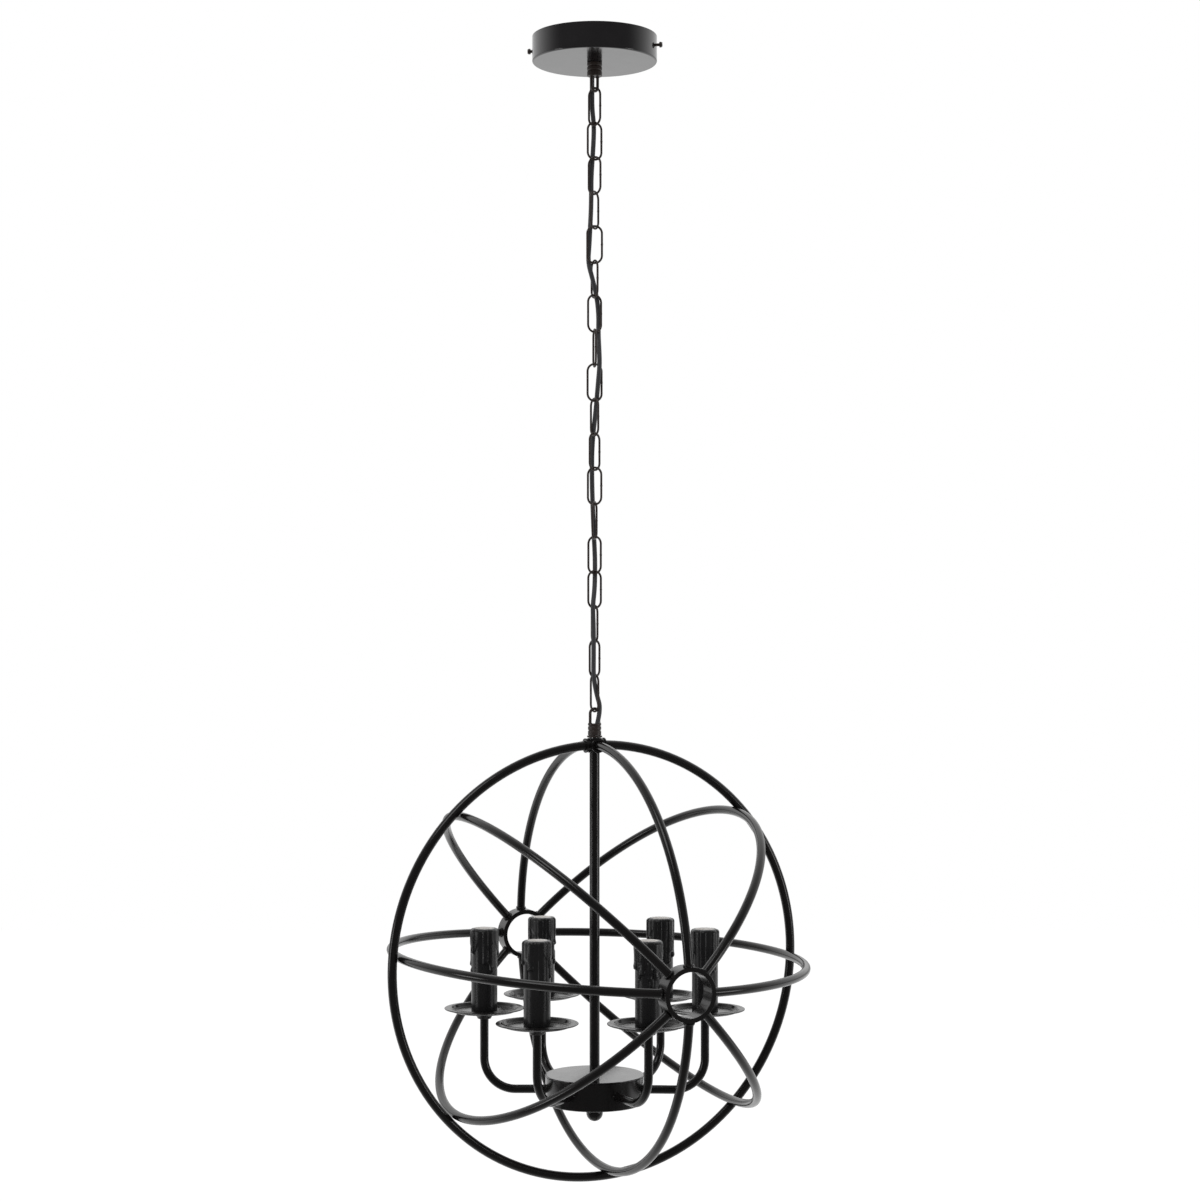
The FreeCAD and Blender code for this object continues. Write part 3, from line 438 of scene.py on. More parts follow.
ZINC = bare_metal("zinc_plate", (0.42, 0.43, 0.43), (0.62, 0.63, 0.62), (0.28, 0.45), 160.0)
BRASS = bare_metal("socket_brass", (0.5, 0.36, 0.14), (0.72, 0.54, 0.25), (0.25, 0.4), 220.0)
print("metals ready")

# %% [markdown]
# ## Hidden parts
# The bracket, the threaded rods, the nut and the terminal block keep their model shapes and
# only take a finish: they sit inside the cup and the hub.

# %% Hidden parts
for node, material in (
    ("ceiling_bracket", ZINC),
    ("upper_nipple", ZINC),
    ("canopy_nut", ZINC),
    ("hub_nipple", ZINC),
    ("terminal_block", BLOCK_WHITE),
):
    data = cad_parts[node].data
    data.materials.clear()
    data.materials.append(material)
print("hidden parts finished")

# %% [markdown]
# ## Ceiling cup
# A shallow spun-steel cup.  The profile is its real wall, open at the ceiling, with the
# small rounded corner that spinning leaves between the side and the flat bottom.

# %% Ceiling cup
CUP_RADIUS, CUP_HEIGHT, CUP_WALL, CUP_CORNER, CUP_INNER_CORNER = 60.0, 25.0, 0.9, 1.6, 0.7

inner = CUP_RADIUS - CUP_WALL
inner_floor = CUP_WALL - CUP_HEIGHT
rod_hole = ROD_RADIUS + SEAT_GAP
cup_profile = [(rod_hole, -CUP_HEIGHT)]
cup_profile += corner(CUP_CORNER, CUP_RADIUS - CUP_CORNER, CUP_CORNER - CUP_HEIGHT, -90, 0)
cup_profile += [(CUP_RADIUS, -SEAT_GAP), (inner, -SEAT_GAP)]
cup_profile += corner(CUP_INNER_CORNER, inner - CUP_INNER_CORNER, inner_floor + CUP_INNER_CORNER, 0, -90)
cup_profile += [(rod_hole, inner_floor)]
cup = lathe(cup_profile, 128, 0.2)
finish("canopy_cup_spun", cup, "ceiling", ["canopy_cup"], [LID_BLACK])
print("cup", 2 * CUP_RADIUS, "mm")

# %% [markdown]
# ## Cup screws
# Two small round-headed screws stand out of the cup's wall.  Each is a threaded shank and a
# domed head, with a thin bar across it in the driver slot's place.

# %% Cup screws
SCREW_TURN, SCREW_DROP, SCREW_REACH = -12.0, 11.0, 63.6
HEAD_RADIUS, HEAD_RIM, HEAD_DOME = 2.7, 1.1, 1.5
SHANK_RADIUS, SHANK_CORE, SHANK_LENGTH = 1.5, 1.25, 12.6
THREAD_TURNS, THREAD_PITCH, THREAD_LEAD, THREAD_RISE = 16, 0.75, 0.2, 0.4
SLOT_LENGTH, SLOT_WIDTH, SLOT_HEIGHT, SLOT_LEVEL = 4.2, 0.7, 0.2, 2.55


def screw():
    """One screw along Z, with the seat of its head at height 0."""
    head = [(0, 0), (HEAD_RADIUS, 0), (HEAD_RADIUS, HEAD_RIM)]
    head += corner(HEAD_DOME, HEAD_RADIUS - HEAD_DOME, HEAD_RIM, 0, 90)[1:]
    head += [(0, HEAD_RIM + HEAD_DOME)]
    bm = lathe(head, 32, 0.12)
    thread = [(0, -SHANK_LENGTH)]
    for winding in range(THREAD_TURNS):
        root = THREAD_LEAD - SHANK_LENGTH + winding * THREAD_PITCH
        thread += [(SHANK_CORE, root), (SHANK_RADIUS, root + THREAD_RISE)]
    thread += [(SHANK_RADIUS, 0), (0, 0)]
    merge_in(bm, lathe(thread, 20))
    slot = bmesh.new()
    bmesh.ops.create_cube(slot, size=1.0)
    bmesh.ops.scale(slot, vec=Vector((SLOT_LENGTH, SLOT_WIDTH, SLOT_HEIGHT)) * MM, verts=slot.verts)
    return merge_in(bm, moved(slot, shift(up=SLOT_LEVEL)))


screws = bmesh.new()
for side in (0, 180):
    out = turn("Z", SCREW_TURN + side) @ shift(across=SCREW_REACH) @ turn("Y", 90)
    merge_in(screws, moved(screw(), shift(up=-SCREW_DROP) @ out))
finish("canopy_screw_pair", screws, "ceiling", ["canopy_screws"], [CHAIN_BLACK])
print("two screws")

# %% [markdown]
# ## Loops
# A loop is a grooved collar with a wire eye.  The eye is one bent rod: up, round half a
# turn and down again.  Its legs sink into the collar, where a small weld fillet joins them.

# %% Loops
EYE_WIRE, EYE_HALF_WIDTH, EYE_ROOT = 1.4, 4.85, 1.0
EYE_FILLET = [(1.1, 0.8), (2.3, 0.8), (1.9, 1.2), (1.6, 1.8), (1.1, 1.8)]
GROOVE_DEPTH, GROOVE_HALF, GROOVE_FLOOR_HALF = 0.55, 0.7, 0.35
TOP_COLLAR, TOP_COLLAR_RADIUS, TOP_EYE_TURN = (-38.2, -25.3), 7.2, 54
LOW_COLLAR, LOW_COLLAR_RADIUS, LOW_EYE_TURN = (-671.6, -660.3), 6.4, 29


def eye_rod(rise):
    """A bent rod from height 0 up to its bar's middle at the given height."""
    bm = bmesh.new()
    leg = rise - EYE_HALF_WIDTH
    ring = ring_at(bm, EYE_WIRE, (EYE_HALF_WIDTH, 0, 0), (0, 0, 1), 18)
    ring = straight(bm, ring, (0, 0, leg))
    ring = bend(bm, ring, (0, 0, leg), (0, -1, 0), 180, 18)
    straight(bm, ring, (0, 0, -leg))
    close_ends(bm)
    for side in (-1, 1):
        merge_in(bm, moved(lathe(EYE_FILLET, 24), shift(across=side * EYE_HALF_WIDTH)))
    return bm


def collar(radius, ends, grooves, bore, bore_ends):
    """A grooved collar whose bore for the rod is open at the top or at the bottom."""
    bottom, top = ends
    low, high = bore_ends
    profile = [(bore if low <= bottom else 0, bottom), (radius, bottom)]
    floor = radius - GROOVE_DEPTH
    for middle in grooves:
        profile += [(radius, middle - GROOVE_HALF), (floor, middle - GROOVE_FLOOR_HALF)]
        profile += [(floor, middle + GROOVE_FLOOR_HALF), (radius, middle + GROOVE_HALF)]
    profile += [(radius, top)]
    if high >= top:
        profile += [(bore, top), (bore, low), (0, low)]
    else:
        profile += [(0, top), (0, high), (bore, high)]
    return lathe(profile, 48, 0.28)


eye_reach = EYE_WIRE + LINK_GAP / 2
top_foot = TOP_COLLAR[0] + EYE_ROOT
top_bar = CHAIN_TOP - eye_reach
top_loop = collar(TOP_COLLAR_RADIUS, TOP_COLLAR, (-33.0, -28.8), ROD_RADIUS + THREAD_GAP, (-33.3, 0))
flip = shift(up=top_foot) @ turn("Z", TOP_EYE_TURN) @ turn("X", 180)
merge_in(top_loop, moved(eye_rod(top_foot - top_bar), flip))
finish("upper_loop_turned", top_loop, "ceiling", ["upper_loop"], [CHAIN_BLACK])

low_foot = LOW_COLLAR[1] - EYE_ROOT
low_bar = CHAIN_TOP - len(LINK_TURNS) * LINK_PITCH + eye_reach
low_bore = NIPPLE_RADIUS + THREAD_GAP
low_loop = collar(LOW_COLLAR_RADIUS, LOW_COLLAR, (-666.8, -662.6), low_bore, (-700.0, -665.1))
low_eye = moved(eye_rod(low_bar - low_foot), shift(up=low_foot) @ turn("Z", LOW_EYE_TURN))
merge_in(low_loop, low_eye)
finish("lower_loop_turned", low_loop, "orb", ["lower_loop"], [CHAIN_BLACK])
print("eyes at", round(top_bar, 1), "and", round(low_bar, 1))

# %% [markdown]
# ## Chain
# Each link is round wire bent to a stadium and butt welded in the middle of one leg, where
# a slight bulge stays.  One link is modelled once and set down eighteen times, each turned
# by its own angle as in the picture.

# %% Chain
WELD_HALF = 1.2
WELD_SWELL = ((1.13, 0.9), (1.04, 0.6), (1 / 1.04 / 1.13, 0.9))


def link_wire():
    """One link about the origin: up a leg with its weld, round, down and round again."""
    half = (LINK_PITCH + LINK_GAP) / 2 + LINK_WIRE
    leg = half - LINK_HALF_WIDTH
    bm = bmesh.new()
    ring = ring_at(bm, LINK_WIRE, (LINK_HALF_WIDTH, 0, -leg), (0, 0, 1), 14)
    ring = straight(bm, ring, (0, 0, leg - WELD_HALF))
    for grow, rise in WELD_SWELL:
        ring = straight(bm, ring, (0, 0, rise))
        middle = shift(across=-LINK_HALF_WIDTH)
        bmesh.ops.scale(bm, vec=(grow, grow, 1), space=middle, verts=only(POINT, ring))
    ring = straight(bm, ring, (0, 0, leg - WELD_HALF))
    ring = bend(bm, ring, (0, 0, leg), (0, -1, 0), 180, 20)
    ring = straight(bm, ring, (0, 0, -2 * leg))
    bend(bm, ring, (0, 0, -leg), (0, -1, 0), 180, 20)
    bmesh.ops.remove_doubles(bm, verts=bm.verts, dist=CLOSE)
    bmesh.ops.recalc_face_normals(bm, faces=bm.faces)
    return bm


for index, angle in enumerate(LINK_TURNS, start=1):
    middle = CHAIN_TOP - (index - 0.5) * LINK_PITCH
    link = moved(link_wire(), shift(up=middle) @ turn("Z", angle))
    number = "%02d" % index
    nodes = ["chain_link_" + number]
    finish("link_wire_" + number, link, "link_" + number, nodes, [CHAIN_BLACK])
print(len(LINK_TURNS), "links")

# %% [markdown]
# ## Cable
# The sheath is a round tube along the cable's line.  The chain swings at every link, so the
# tube is cut at each link's middle and each length runs across one joint.  Rings are set
# square to the line, and the cut rings of two neighbours are the same ring, so no gap shows.

# %% Cable
RING_SIDES = 16
BEND_REACH = 9


def ring_frames(points):
    """A square-on frame at every point, carried along without twisting."""
    frames = []
    side = Vector((1, 0, 0))
    for index, point in enumerate(points):
        before = points[max(index - 1, 0)]
        after = points[min(index + 1, len(points) - 1)]
        along = (after - before).normalized()
        side = (side - along * side.dot(along)).normalized()
        spin = Matrix((side, along.cross(side), along)).transposed().to_4x4()
        frames.append(Matrix.Translation(point) @ spin)
    return frames


def sheath(frames):
    """A closed tube with a ring at every frame."""
    bm = bmesh.new()
    rings = []
    for matrix in frames:
        made = bmesh.ops.create_circle(
            bm, cap_ends=False, radius=CABLE_RADIUS * MM, segments=RING_SIDES, matrix=matrix
        )
        rings.append(list({e for v in made["verts"] for e in v.link_edges}))
    for lower, upper in zip(rings, rings[1:]):
        bmesh.ops.bridge_loops(bm, edges=lower + upper)
    bmesh.ops.holes_fill(bm, edges=[e for e in bm.edges if e.is_boundary], sides=0)
    bmesh.ops.recalc_face_normals(bm, faces=bm.faces)
    return bm


cable_frames = ring_frames(cable_points)
cuts = [0]
for index in range(len(LINK_TURNS)):
    middle = (CHAIN_TOP - (index + 0.5) * LINK_PITCH) * MM
    cuts.append(min(range(len(cable_points)), key=lambda n: abs(cable_points[n].z - middle)))
cuts.append(len(cable_points) - 1)
for index, (first, last) in enumerate(zip(cuts, cuts[1:])):
    name = "cable_length_%02d" % (index + 1)
    piece = finish(name, sheath(cable_frames[first : last + 1]), None, finishes=[CABLE_GREY])
    joint = CHAIN_TOP - index * LINK_PITCH
    start, stop = (0, 0, (joint + BEND_REACH) * MM), (0, 0, (joint - BEND_REACH) * MM)
    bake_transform(piece)
    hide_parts("chain_cable")
print(len(cuts) - 1, "lengths of cable")

# %% [markdown]
# ## Hub and stem
# The hub is a cast cross: an upright core and four bosses with raised rims that take the
# hoop tubes.  The bosses are one turned shape, set down four times.  The hub leans with the
# cage; the washer, the loop and the stem stay upright.

# %% Hub and stem
HUB_RADIUS, HUB_BORE, HUB_REACH, SOCKET_DEPTH, LEAN_GAP = 6.8, 4.2, 10.2, 4.0, 0.5
BOSS_RADIUS, BOSS_ROOT, RIM_RADIUS, RIM_WIDTH, RIM_CHAMFER = 6.2, 4.3, 7.0, 1.8, 0.2
WASHER_BORE, WASHER_RADIUS, WASHER_THICK = 4.1, 7.3, 1.7
STEM_BORE, STEM_RADIUS, STEM_BOTTOM = 3.95, 4.85, -1006.0

lean = turn("Y", -LEAN_SIDE) @ turn("X", LEAN_BACK)
hub_place = shift(up=HUB_LEVEL) @ lean @ turn("Z", CAGE_TURN)


def boss(tube):
    """A socket along Z for a tube of the given radius, with a raised rim."""
    floor, rim = HUB_REACH - SOCKET_DEPTH, HUB_REACH - RIM_WIDTH
    return [
        (0, BOSS_ROOT),
        (BOSS_RADIUS, BOSS_ROOT),
        (BOSS_RADIUS, rim),
        (RIM_RADIUS, rim + RIM_CHAMFER),
        (RIM_RADIUS, HUB_REACH),
        (tube + WELD_GAP, HUB_REACH),
        (tube + WELD_GAP, floor),
        (0, floor),
    ]


hub = lathe(box_profile(HUB_BORE, HUB_RADIUS, -HUB_HEIGHT / 2, HUB_HEIGHT / 2), 48, 0.7)
for quarter in range(4):
    tube = (HOOP_TUBE, INNER_TUBE)[quarter % 2]
    merge_in(hub, moved(lathe(boss(tube), 40, 0.3), turn("Z", 90 * quarter) @ turn("Y", 90)))
black_piece("hub_cast", moved(hub, hub_place), "hub")

washer_top = LOW_COLLAR[0] - SEAT_GAP
washer = lathe(box_profile(WASHER_BORE, WASHER_RADIUS, washer_top - WASHER_THICK, washer_top), 48, 0.35)
finish("hub_washer_turned", washer, "orb", ["hub_washer"], [CHAIN_BLACK])

stem_top = HUB_LEVEL - HUB_HEIGHT / 2 - LEAN_GAP
stem = lathe(box_profile(STEM_BORE, STEM_RADIUS, STEM_BOTTOM, stem_top), 40, 0.2)
black_piece("stem_tube", stem, "stem")
print("stem", round(stem_top - STEM_BOTTOM), "mm")

# %% [markdown]
# ## Cage
# Every hoop is round tube rolled to a true circle.  A ring of edges is spun about the
# cage's middle; the ends stop inside the hub's sockets or in the eyelets' walls, and a small
# rough weld bead covers each joint with an eyelet.

# %% Cage
SOCKET_LIFT, TUBE_SIDES = 0.17, 24
SINK, BEAD_OUT, BEAD_RADIUS, BEAD_GAP = 2.0, 0.4, 1.0, 0.1
LUMP_SCALE, LUMP_HEIGHT = 900, 0.35
HALF_HOOP_TURNS = {
    "hoop_level_right": 2.6,
    "hoop_right_lower": 47.4,
    "hoop_left_lower": 138.2,
    "hoop_level_left": 185.2,
    "hoop_left_upper": 227.4,
    "hoop_right_upper": 316.7,
}


def cage_matrix(spin, rise=0.0):
    """From the cage's middle to its place under the hub."""
    return hub_place @ shift(up=rise + SOCKET_LIFT - HOOP_RADIUS) @ spin


def degrees_at(reach, radius):
    """The angle at a circle's middle that takes its edge that far sideways."""
    return math.degrees(math.asin(reach / radius))


def arc(radius, tube, start, stop):
    """Tube round the middle in the XZ plane, by degrees from straight up, clockwise."""
    bm = bmesh.new()
    ring = ring_at(bm, tube, (0, 0, radius), (1, 0, 0), TUBE_SIDES)
    aim = Matrix.Rotation(math.radians(start), 3, "Y")
    bmesh.ops.rotate(bm, cent=(0, 0, 0), matrix=aim, verts=only(POINT, ring))
    steps = max(8, round((stop - start) / 2))
    bend(bm, ring, (0, 0, 0), (0, 1, 0), stop - start, steps)
    close_ends(bm)
    return bm


def bead(radius, tube, angle, seed):
    """A weld bead round a tube at that angle: a thin ring with an uneven surface."""
    bm = lathe(corner(BEAD_RADIUS, tube + BEAD_GAP, 0, 0, 315, 7), 30)
    for vert in bm.verts:
        lump = noise.noise(vert.co * LUMP_SCALE + Vector((seed, 0, 0)))
        vert.co += vert.co.normalized() * lump * LUMP_HEIGHT * MM
    return moved(bm, turn("Y", angle) @ shift(up=radius) @ turn("Y", 90))


socket_end = HUB_REACH - SOCKET_DEPTH + WELD_GAP
outer_end = degrees_at(socket_end, HOOP_RADIUS)
outer = arc(HOOP_RADIUS, HOOP_TUBE, outer_end, 360 - outer_end)
black_piece("hoop_outer_tube", moved(outer, cage_matrix(Matrix.Identity(4))), "hoop_outer")

eyelet_edge = degrees_at(EYELET_RADIUS - SINK, INNER_RADIUS)
bead_edge = degrees_at(EYELET_RADIUS + BEAD_OUT, INNER_RADIUS)
for number, (node, angle) in enumerate(HALF_HOOP_TURNS.items()):
    hoop = arc(INNER_RADIUS, INNER_TUBE, eyelet_edge, 180 - eyelet_edge)
    merge_in(hoop, bead(INNER_RADIUS, INNER_TUBE, bead_edge, number))
    merge_in(hoop, bead(INNER_RADIUS, INNER_TUBE, 180 - bead_edge, number + 0.5))
    place = cage_matrix(turn("Y", angle)) @ turn("X", -90)
    black_piece(node + "_tube", moved(hoop, place), node)

rise = HOOP_RADIUS - CROSS_RADIUS
level = 90 + degrees_at(rise, CROSS_RADIUS)
cross_end = degrees_at(socket_end, CROSS_RADIUS)
upper_stop = level - eyelet_edge
lower_beads = (level + bead_edge, 360 - level - bead_edge)
for node, side, start, stop, beads in (
    ("hoop_cross_back", 90, cross_end, upper_stop, (level - bead_edge,)),
    ("hoop_cross_front", 270, cross_end, upper_stop, (level - bead_edge,)),
    ("hoop_cross_lower", 90, level + eyelet_edge, 360 - level - eyelet_edge, lower_beads),
):
    hoop = arc(CROSS_RADIUS, INNER_TUBE, start, stop)
    for angle in beads:
        merge_in(hoop, bead(CROSS_RADIUS, INNER_TUBE, angle, angle))
    black_piece(node + "_tube", moved(hoop, cage_matrix(turn("Z", side), rise)), node)
print("ten hoops, ends", round(eyelet_edge, 2), "degrees from the eyelets' axis")

# %% [markdown]
# ## Eyelets
# Two short lengths of thick tube, sawn off and deburred, so their rims have a small bevel.

# %% Eyelets
for node, side in (("eyelet_front", -1), ("eyelet_back", 1)):
    half = EYELET_LENGTH / 2
    bm = lathe(box_profile(EYELET_RADIUS - EYELET_WALL, EYELET_RADIUS, -half, half), 96, 0.45)
    place = cage_matrix(shift(back=side * (INNER_RADIUS - EYELET_INSET))) @ turn("X", 90)
    black_piece(node + "_turned", moved(bm, place), node)
print("two eyelets")

# %% [markdown]
# ## Drum and finial
# The candle body is a spun drum with a separate flat lid.  A hairline between the two shows
# that the lid is a piece of its own.  The finial is a turned ball on a short neck.

# %% Drum and finial
DRUM_CORNER, DRUM_HOLE = 1.6, 4.1
LID_THICK, LID_LINE, LID_HOLE = 1.3, 0.3, 5.15
BALL_RADIUS, BALL_DROP, NECK_RADIUS, NECK_DROP, STUD_LENGTH = 8.0, 9.56, 4.6, 2.0, 25.7

bottom = DRUM_TOP - DRUM_HEIGHT
drum_rim = DRUM_TOP - LID_THICK - LID_LINE
drum_inside = DRUM_RADIUS - DRUM_WALL
drum_profile = [(DRUM_HOLE, bottom)]
drum_profile += corner(DRUM_CORNER, DRUM_RADIUS - DRUM_CORNER, bottom + DRUM_CORNER, -90, 0)
drum_profile += [(DRUM_RADIUS, drum_rim), (drum_inside, drum_rim)]
drum_profile += [(drum_inside, bottom + DRUM_WALL), (DRUM_HOLE, bottom + DRUM_WALL)]
black_piece("drum_spun", lathe(drum_profile, 112, 0.15), "drum_body")

lid = lathe(box_profile(LID_HOLE, DRUM_RADIUS, DRUM_TOP - LID_THICK, DRUM_TOP), 112, 0.4)
black_piece("drum_lid_pressed", lid, "drum_lid", LID_BLACK)

ball = bottom - BALL_DROP
seat = bottom - SEAT_GAP
finial_profile = [(0, ball - BALL_RADIUS)] + corner(BALL_RADIUS, 0, ball, -84, 56, 22)
finial_profile += [(NECK_RADIUS, bottom - NECK_DROP), (NECK_RADIUS, seat), (NIPPLE_RADIUS, seat)]
finial_profile += [(NIPPLE_RADIUS, bottom + STUD_LENGTH), (0, bottom + STUD_LENGTH)]
black_piece("finial_turned", lathe(finial_profile, 48), "finial")
print("drum bottom", round(bottom, 1))

# %% [markdown]
# ## Arms
# Each arm is one tube, out of the drum, round a bend and up.  A thin pressed collar ring
# trims the hole where it leaves the drum.

# %% Arms
ARM_BEND, ARM_TOP, ARM_INSIDE = 30.0, 73.0, 5.0
TRIM_RADIUS, TRIM_LIP, TRIM_BACK, TRIM_OUT = 5.4, 5.0, 0.3, 0.7


def arm():
    """One arm along X, from inside the drum's wall to the foot of the pan."""
    root, upright = DRUM_RADIUS - ARM_INSIDE, CANDLE_CIRCLE - ARM_BEND
    bm = bmesh.new()
    ring = ring_at(bm, ARM_RADIUS, (root, 0, 0), (1, 0, 0), TUBE_SIDES)
    ring = straight(bm, ring, (upright - root, 0, 0))
    ring = bend(bm, ring, (upright, 0, ARM_BEND), (0, -1, 0), 90, 24)
    straight(bm, ring, (0, 0, ARM_TOP - ARM_BEND))
    close_ends(bm)
    back, out = DRUM_RADIUS - TRIM_BACK, DRUM_RADIUS + TRIM_OUT
    trim = [(ARM_RADIUS, back), (TRIM_RADIUS, back), (TRIM_LIP, out), (ARM_RADIUS, out)]
    return merge_in(bm, moved(lathe(trim, 32), turn("Y", 90)))


for number, angle in enumerate(ARM_TURNS, start=1):
    place = shift(up=ARM_LEVEL) @ turn("Z", angle)
    black_piece("arm_tube_%d" % number, moved(arm(), place), "arm_%d" % number)
print(len(ARM_TURNS), "arms")

# %% [markdown]
# ## Pans
# A drip pan is pressed sheet: a flat outer rim, a raised lip, a shallow recess that the
# candle stands in, and under it a turned cup that screws on to the arm.

# %% Pans
PAN_FLOOR, PAN_SHEET, PAN_RADIUS = -2.6, 1.2, 38.3
PAN_HOLE, ARM_SOCKET, CUP_FOOT, CUP_TOP, CUP_DROP = 3.3, 4.35, 6.3, 9.0, 6.8

under = PAN_FLOOR - PAN_SHEET
pan_profile = [
    # the hole for the rod, the arm's socket and the turned cup, up to the sheet
    (PAN_HOLE, PAN_FLOOR),
    (PAN_HOLE, under - 1.2),
    (ARM_SOCKET, under - 1.2),
    (ARM_SOCKET, under - CUP_DROP),
    (CUP_FOOT, under - CUP_DROP),
    (7.6, under - 4.6),
    (CUP_TOP, under - 2.0),
    (CUP_TOP, under),
    # the underside of the recess and the rim
    (29.4, under),
    (30.6, under + 0.5),
    (32.6, -PAN_SHEET),
    (PAN_RADIUS - 0.7, -PAN_SHEET),
    # the rounded edge, the raised lip and down into the recess
    (PAN_RADIUS, -0.9),
    (PAN_RADIUS, -0.3),
    (PAN_RADIUS - 0.5, 0.0),
    (33.6, 0.0),
    (32.7, 0.55),
    (31.7, 0.6),
    (30.9, 0.0),
    (29.8, -2.0),
    (29.0, PAN_FLOOR),
]


def candle_spot(index):
    """From the stem's axis to the axis of that candle."""
    return turn("Z", ARM_TURNS[index]) @ shift(across=CANDLE_CIRCLE)


pans = bmesh.new()
for index in range(len(ARM_TURNS)):
    merge_in(pans, moved(lathe(pan_profile, 96, 0.12), shift(up=PAN_LEVEL) @ candle_spot(index)))
black_piece("pans_pressed", pans, "bobeches")
print(len(ARM_TURNS), "pans")

# %% [markdown]
# ## Lampholders
# A small screw lampholder stands in each candle: a ribbed moulded body on a threaded rod,
# with a brass shell whose rolled thread takes the lamp's cap.

# %% Lampholders
HOLDER_RADIUS, HOLDER_TOP, HOLDER_FOOT, HOLDER_CHAMFER = 10.6, -862.0, -907.0, (2.0, 3.0)
HOLDER_ROD, ROD_FOOT, SOCKET_RADIUS, SOCKET_LENGTH = 2.9, -952.0, 7.1, 26.0
RIBS, RIB_PITCH, RIB_DROP, RIB_DEPTH = 5, 3.2, 22.0, 0.5
SHELL_TURNS, SHELL_PITCH, SHELL_LENGTH, SHELL_LIP = 9, 2.8, 25.5, 0.4
SHELL_CREST, SHELL_ROOT, SHELL_SKIN = SOCKET_RADIUS - 0.1, SOCKET_RADIUS - 0.6, SOCKET_RADIUS - 0.02

body_profile = [(0, ROD_FOOT), (HOLDER_ROD, ROD_FOOT), (HOLDER_ROD, HOLDER_FOOT)]
body_profile += [(HOLDER_RADIUS - HOLDER_CHAMFER[0], HOLDER_FOOT)]
body_profile += [(HOLDER_RADIUS, HOLDER_FOOT + HOLDER_CHAMFER[1])]
for rib in range(RIBS):
    low, groove = HOLDER_TOP - RIB_DROP + RIB_PITCH * rib, HOLDER_RADIUS - RIB_DEPTH
    body_profile += [(HOLDER_RADIUS, low), (groove, low + 0.5)]
    body_profile += [(groove, low + 1.6), (HOLDER_RADIUS, low + 2.1)]
body_profile += [(HOLDER_RADIUS, HOLDER_TOP), (SOCKET_RADIUS, HOLDER_TOP)]
body_profile += [(SOCKET_RADIUS, HOLDER_TOP - SOCKET_LENGTH), (0, HOLDER_TOP - SOCKET_LENGTH)]

shell_profile = []
for winding in range(SHELL_TURNS):
    low = HOLDER_TOP - SHELL_LENGTH + SHELL_PITCH * winding
    shell_profile += [(SHELL_CREST, low), (SHELL_ROOT, low + 0.9), (SHELL_ROOT, low + 1.6)]
shell_profile += [(SHELL_CREST, HOLDER_TOP - SHELL_LIP), (SHELL_SKIN, HOLDER_TOP - SHELL_LIP)]
shell_profile += [(SHELL_SKIN, HOLDER_TOP - SHELL_LENGTH)]

holders, shells = bmesh.new(), bmesh.new()
for index in range(len(ARM_TURNS)):
    merge_in(holders, moved(lathe(body_profile, 40, 0.2), candle_spot(index)))
    merge_in(shells, moved(lathe(shell_profile, 40), candle_spot(index)))
finish("lampholder_bodies", holders, "orb", ["lampholders"], [HOLDER_BLACK])
finish("lampholder_shells", shells, "orb", finishes=[BRASS])
print(len(ARM_TURNS), "lampholders")

# %% [markdown]
# ## Candles
# Each sleeve is a pale moulded tube with a black coat.  Drips of wax run down its upper
# half: a film that ends in an uneven edge, and a dozen runs of different lengths, each
# thicker at its foot.  The tube is spun with many rings, and its outer points are then
# pushed out by the height of the wax there.

# %% Candles
SLEEVE_RADIUS, SLEEVE_BORE, SLEEVE_MOUTH = 12.5, 11.2, 9.2
SLEEVE_BASE, SLEEVE_HEIGHT, SHOULDER = -2.3, 78.6, 3.3
SLEEVE_TOP = SLEEVE_BASE + SLEEVE_HEIGHT
PLAIN_FOOT, FOOT_STEP, WAX_STEP, SLEEVE_STEPS = 16, 4.5, 0.9, 150
FILM_THICK, FILM_EDGE, FILM_WAVE = 0.6, 60, 4
LONG_RUNS, LONG_WIDTH, LONG_LOW, LONG_THICK = 8, (0.17, 0.28), (32, 56), (0.9, 1.5)
SHORT_RUNS, SHORT_WIDTH, SHORT_LOW, SHORT_THICK = 4, (0.13, 0.18), (26, 44), (0.9, 1.3)
SHORT_LENGTH, OVER_THE_TOP = (12, 22), 90
FOOT_SWELL, FOOT_REACH = 0.55, 2.4


def smooth_step(value):
    value = min(max(value, 0.0), 1.0)
    return value * value * (3 - 2 * value)


def drips(seed):
    """Runs of wax as (angle, half width, highest point, lowest point, thickness)."""
    dice = random.Random(seed)
    runs = []
    for index in range(LONG_RUNS):
        angle = (index + dice.uniform(-0.3, 0.3)) * math.tau / LONG_RUNS
        width = dice.uniform(*LONG_WIDTH)
        low = dice.uniform(*LONG_LOW)
        runs.append((angle, width, OVER_THE_TOP, low, dice.uniform(*LONG_THICK)))
    for index in range(SHORT_RUNS):
        angle = dice.uniform(0, math.tau)
        low = dice.uniform(*SHORT_LOW)
        width = dice.uniform(*SHORT_WIDTH)
        high = low + dice.uniform(*SHORT_LENGTH)
        runs.append((angle, width, high, low, dice.uniform(*SHORT_THICK)))
    return runs


